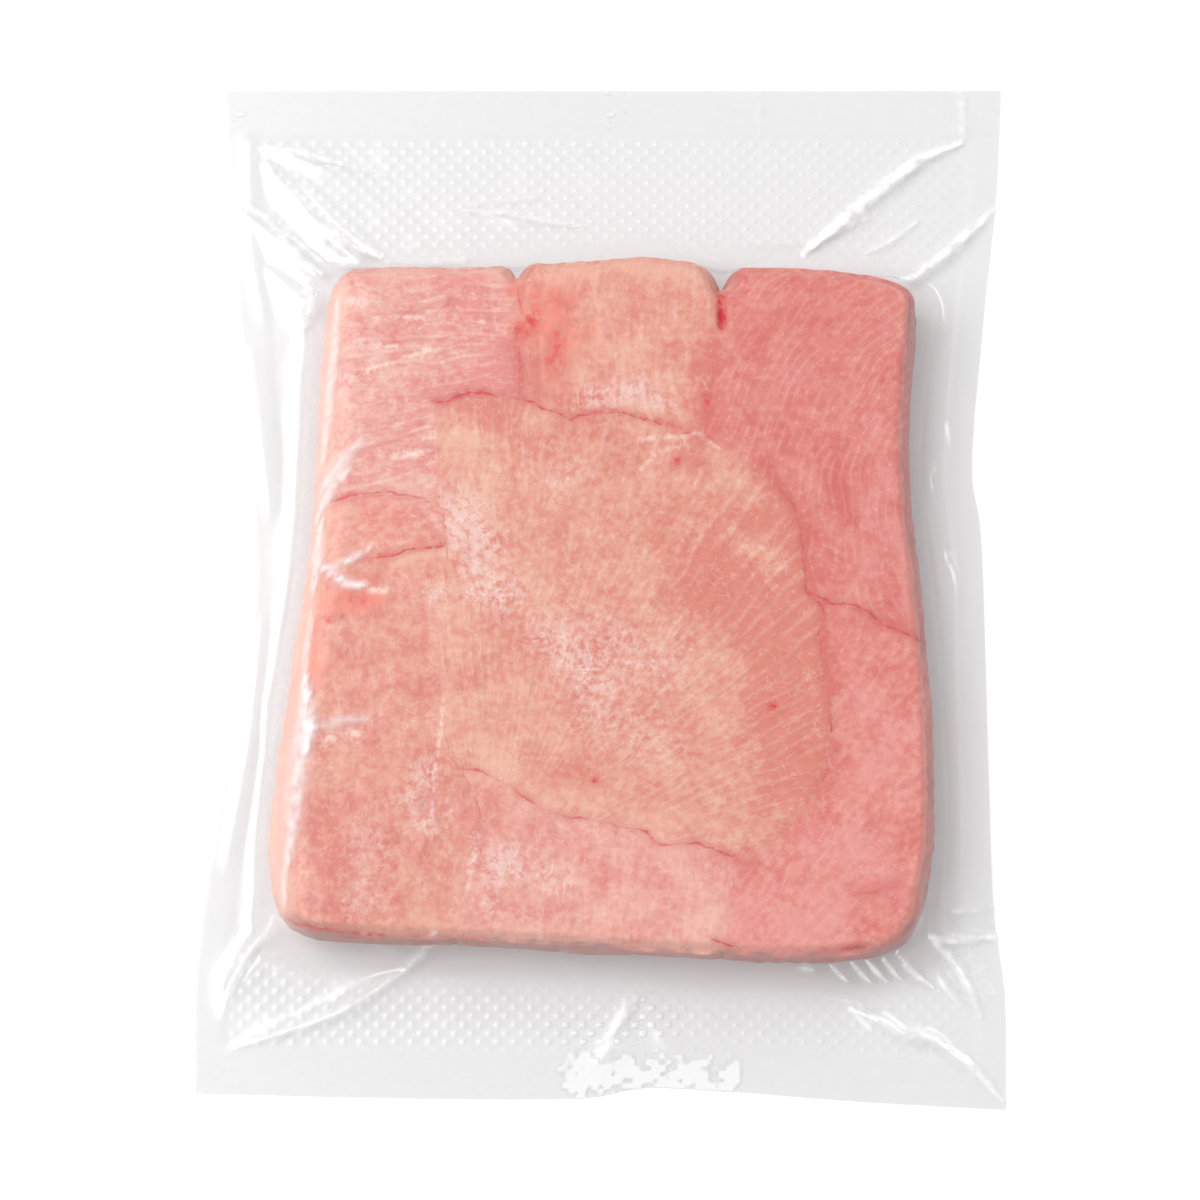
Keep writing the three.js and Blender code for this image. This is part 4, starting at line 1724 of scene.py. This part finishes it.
    def _drape(self, spots: np.ndarray) -> np.ndarray:
        """The upper film's height.

        Args:
            spots: the spots, with two columns.

        Returns:
            Its height at each spot.
        """
        near = nearness(self.wrapped, spots, closed=True)
        nook = self._nook(spots)
        out = near.outward - 2.6 * nook
        side, back, front = self._margins(spots)
        reach = self.block.rounding(near) * (1 + 1.1 * nook)
        top = self.block.height(spots, -out) + self.gap + 0.2
        grooves = self.block.grooves(spots)[0]
        top -= 0.45 * np.minimum(grooves, 0.4)
        share = np.clip(-out / reach, 0, 1)
        waist = self.block.waist + 1.4
        wall = waist + (top - waist) * np.sqrt(1 - (1 - share) ** 2)
        place = np.column_stack([spots, np.zeros(len(spots))])
        drop = self.drop * (1 + 0.3 * self.uneven.at(place, 14) + 1.1 * nook)
        skirt = (waist - self.upper_rest) * np.exp(-((np.maximum(out, 0) / drop) ** 1.25))
        lift = np.zeros(len(spots))
        for tuck in self.tucks:
            lift = np.maximum(lift, tuck.on(spots))
        waves = np.maximum(0, 0.25 * self.uneven.at(place, 9) + 0.08 * self.uneven.at(place, 4))
        weld = np.minimum.reduce([
            smooth(side, self.side_weld - 1, self.side_weld + 4),
            smooth(back, 12, 17),
            smooth(front, 11, 16),
        ])
        held = np.minimum.reduce([smooth(side, 0, 5), smooth(back, 3, 14), smooth(front, 3, 12)])
        lift *= 0.15 + 0.85 * held
        skirt *= smooth(side, 0, 3)
        away = self.upper_rest + (skirt ** 3 + lift ** 3) ** (1 / 3) + waves * weld
        rumple = 0.8 * self.uneven.at(place, 9) + 0.3 * self.uneven.at(place, 4)
        facing_left = np.clip(-near.normal[:, 0] + 0.3, 0, 1)
        wall += rumple * smooth(share, 0.2, 0.8) * smooth(-out, 16, 6) * facing_left
        return np.where(out < 0, wall, np.minimum(away, self.highest))

    def build_upper(self) -> None:
        """Builds the upper film."""
        across = np.concatenate([
            -2 + np.linspace(0, 0.80, 26, endpoint=False),
            -1.2 + np.linspace(0, 0.27, 26, endpoint=False),
            np.linspace(-0.93, 0.6, 90, endpoint=False),
            np.linspace(0.6, 0.93, 60, endpoint=False),
            0.93 + np.linspace(0, 0.27, 26, endpoint=False),
            1.2 + np.linspace(0, 0.80, 27),
        ])
        along = np.concatenate([
            -2 + np.linspace(0, 0.88, 76, endpoint=False),
            -1.12 + np.linspace(0, 0.18, 24, endpoint=False),
            np.linspace(-0.94, 0.94, 104, endpoint=False),
            0.94 + np.linspace(0, 0.16, 24, endpoint=False),
            1.10 + np.linspace(0, 0.90, 76),
        ])
        film = self._sheet("pouch_film_upper", across, along)
        points = points_of(film)
        points[:, 2] = self._drape(points[:, :2])
        move_points(film, points)
        corners = film.vertex_groups.new(name="corners")
        for index, share in enumerate(self._nook(points[:, :2])):
            if share > 0.05:
                corners.add([index], float(share), "REPLACE")
        relax = film.modifiers.new("relaxed_corners", "SMOOTH")
        relax.factor = 0.5
        relax.iterations = 10
        relax.vertex_group = corners.name
        bpy.ops.object.modifier_apply(modifier=relax.name)
        film.vertex_groups.clear()
        points = points_of(film)
        self._paint(film, points[:, :2], self.haze_and_highlights, 0)
        dress(film, self.upper_finish.material())

    def build_lower(self) -> None:
        """Builds the lower film with its embossed ends."""
        across = np.concatenate([
            np.linspace(-2, -1, 32, endpoint=False),
            np.linspace(-1, 1, 250, endpoint=False),
            np.linspace(1, 2, 33),
        ])
        along = np.concatenate([
            np.linspace(-2, -0.96, 66, endpoint=False),
            np.linspace(-0.96, 0.94, 70, endpoint=False),
            np.linspace(0.94, 2, 100),
        ])
        film = self._sheet("pouch_film_lower", across, along)
        points = points_of(film)
        spots = points[:, :2]
        side, back, front = self._margins(spots)
        near = nearness(self.wrapped, spots, closed=True)
        out = np.maximum(near.outward, 0)
        field_mask = np.minimum.reduce([
            smooth(side, 7, 13),
            smooth(np.minimum(back - self.back_weld + 0.1, front - self.front_weld), 0, 1.2),
            smooth(out, 4, 14),
            smooth(np.abs(spots[:, 1]), 78, 92),
        ])
        u = 2 * math.pi * spots[:, 0] / self.pitch
        v = 2 * math.pi * spots[:, 1] / self.pitch
        domes = np.clip(np.cos(u) * np.cos(v), 0, 1) ** 1.5
        weld = np.maximum.reduce([
            smooth(side, self.side_weld, self.side_weld - 2),
            smooth(back, self.back_weld + 0.5, self.back_weld - 0.5),
            smooth(front, self.front_weld + 0.5, self.front_weld - 0.5),
        ])
        points[:, 2] = self.lower_rest + self.dome * domes * field_mask + 0.2 * weld
        move_points(film, points)
        # painted highlights on the embossed dots, stronger under dot_glare, plus painted glare
        dotted = sum(mark.on(spots) for mark in self.dot_glare)
        dots = (self.painted_dot_highlight + self.painted_dot_glare * dotted) * domes * field_mask
        self._paint(film, spots, (), dots + self._shine(spots))
        dress(film, self.lower_finish.material())

    def _shine(self, spots: np.ndarray) -> np.ndarray:
        """How white the glare on the lower film is, with ragged edges.

        Args:
            spots: the spots, with two columns.

        Returns:
            How white it is at each spot, from 0 to 1.
        """
        place = np.column_stack([spots, np.zeros(len(spots))])
        glare = sum(mark.on(spots) for mark in self.glare)
        fuzzy = glare * (1 + 0.8 * self.uneven.at(place, 1.5) + 0.3 * self.uneven.at(place, 5))
        return smooth(fuzzy, 0.35, 0.8) * smooth(spots[:, 0], self.glare_end, self.glare_end - 1.2)

    def _paint(
        self, film: bpy.types.Object, spots: np.ndarray, haze_and_highlights: tuple[Mark, ...], dots: np.ndarray | float
    ) -> None:
        """Paints where a film is milky, and where painted highlights and glare whiten it.

        Args:
            film: the film.
            spots: its points, seen from above.
            haze_and_highlights: the places where it is crinkled and where painted highlights and glare whiten
                it.
            dots: how much painted highlight its embossed dots and painted glare put on each point.
        """
        side, back, front = self._margins(spots)
        ends = np.maximum(
            smooth(back, self.back_weld + 0.3, self.back_weld - 0.3),
            smooth(front, self.front_weld + 0.1, self.front_weld - 0.5),
        )
        sides = smooth(side, self.side_weld + 0.5, self.side_weld - 0.5)
        # milky welds, plus painted highlights on the dots and folds and painted glare
        milk_and_highlight = 0.01 + self.weld_milk * np.maximum(ends, 0.4 * sides) + dots
        for mark in haze_and_highlights:
            milk_and_highlight += mark.on(spots)
        paint_points(film, Stain.MILK_AND_HIGHLIGHT.value, milk_and_highlight)
        out = nearness(self.wrapped, spots, closed=True).outward
        paint_points(film, "cling", smooth(out, 0.5, -1.0))


@dataclass
class Studio:
    """The camera, the plain floor and the soft lights."""

    target: tuple[float, float, float] = (-2.2, -3.8, 0.0)
    distance: float = 1010.0
    elevation: float = 77.0
    lens: float = 120.0
    sensor: float = 36.0
    floor_size: float = 6000.0
    world_glow: float = 0.62

    def place_camera(self) -> None:
        """Puts the camera at the photograph's angle."""
        lift = math.radians(self.elevation)
        x, y, z = self.target
        back, up = self.distance * math.cos(lift), self.distance * math.sin(lift)
        place = (x * MM, (y - back) * MM, (z + up) * MM)
        alone()
        bpy.ops.object.camera_add(location=place, rotation=(math.pi / 2 - lift, 0, 0))
        camera = bpy.context.object
        camera.name = "camera"
        camera.data.lens = self.lens
        camera.data.sensor_width = self.sensor
        camera.data.clip_end = 20
        bpy.context.scene.camera = camera

    def lay_floor(self) -> None:
        """Lays the plain floor."""
        alone()
        bpy.ops.mesh.primitive_plane_add(size=self.floor_size * MM)
        floor = bpy.context.object
        floor.name = "floor"
        floor.data.materials.append(FloorFinish().material())

    def hang_light(
        self, name: str, azimuth: float, elevation: float, distance: float,
        size: tuple[float, float], glow: float,
    ) -> None:
        """Hangs a softbox that faces the pack.

        Args:
            name: the light's name.
            azimuth: its direction from the pack, in degrees from +X.
            elevation: its height above the floor, in degrees.
            distance: how far it is, in metres.
            size: its width and height, in metres.
            glow: how bright its face is.
        """
        a, e = math.radians(azimuth), math.radians(elevation)
        level = distance * math.cos(e)
        place = (level * math.cos(a), level * math.sin(a), distance * math.sin(e))
        alone()
        bpy.ops.object.light_add(type="AREA", location=place, rotation=(math.pi / 2 - e, 0, a + math.pi / 2))
        light = bpy.context.object
        light.name = name
        light.data.shape = "RECTANGLE"
        light.data.size, light.data.size_y = size
        light.data.energy = glow * math.pi * size[0] * size[1]

    def build(self) -> None:
        """Builds the whole studio."""
        self.place_camera()
        self.lay_floor()
        self.hang_light("key_softbox", azimuth=171, elevation=57, distance=2.8, size=(2.4, 2.0), glow=3.9)
        self.hang_light("corner_strip", azimuth=52, elevation=42, distance=1.7, size=(1.0, 0.28), glow=5.0)
        world = bpy.data.worlds.new("studio")
        world.use_nodes = True
        world.node_tree.nodes["Background"].inputs["Color"].default_value = (1, 1, 1, 1)
        world.node_tree.nodes["Background"].inputs["Strength"].default_value = self.world_glow
        bpy.context.scene.world = world
        bpy.context.scene.view_settings.view_transform = "Standard"


def main() -> None:
    """Builds the pack and the studio."""
    Studio().build()
    block = Block()
    fillets = FilletLayer(block)
    fillets.build_upper()
    fillets.build_lower()
    pouch = Pouch(block)
    pouch.build_upper()
    pouch.build_lower()


if __name__ == "__main__":
    main()
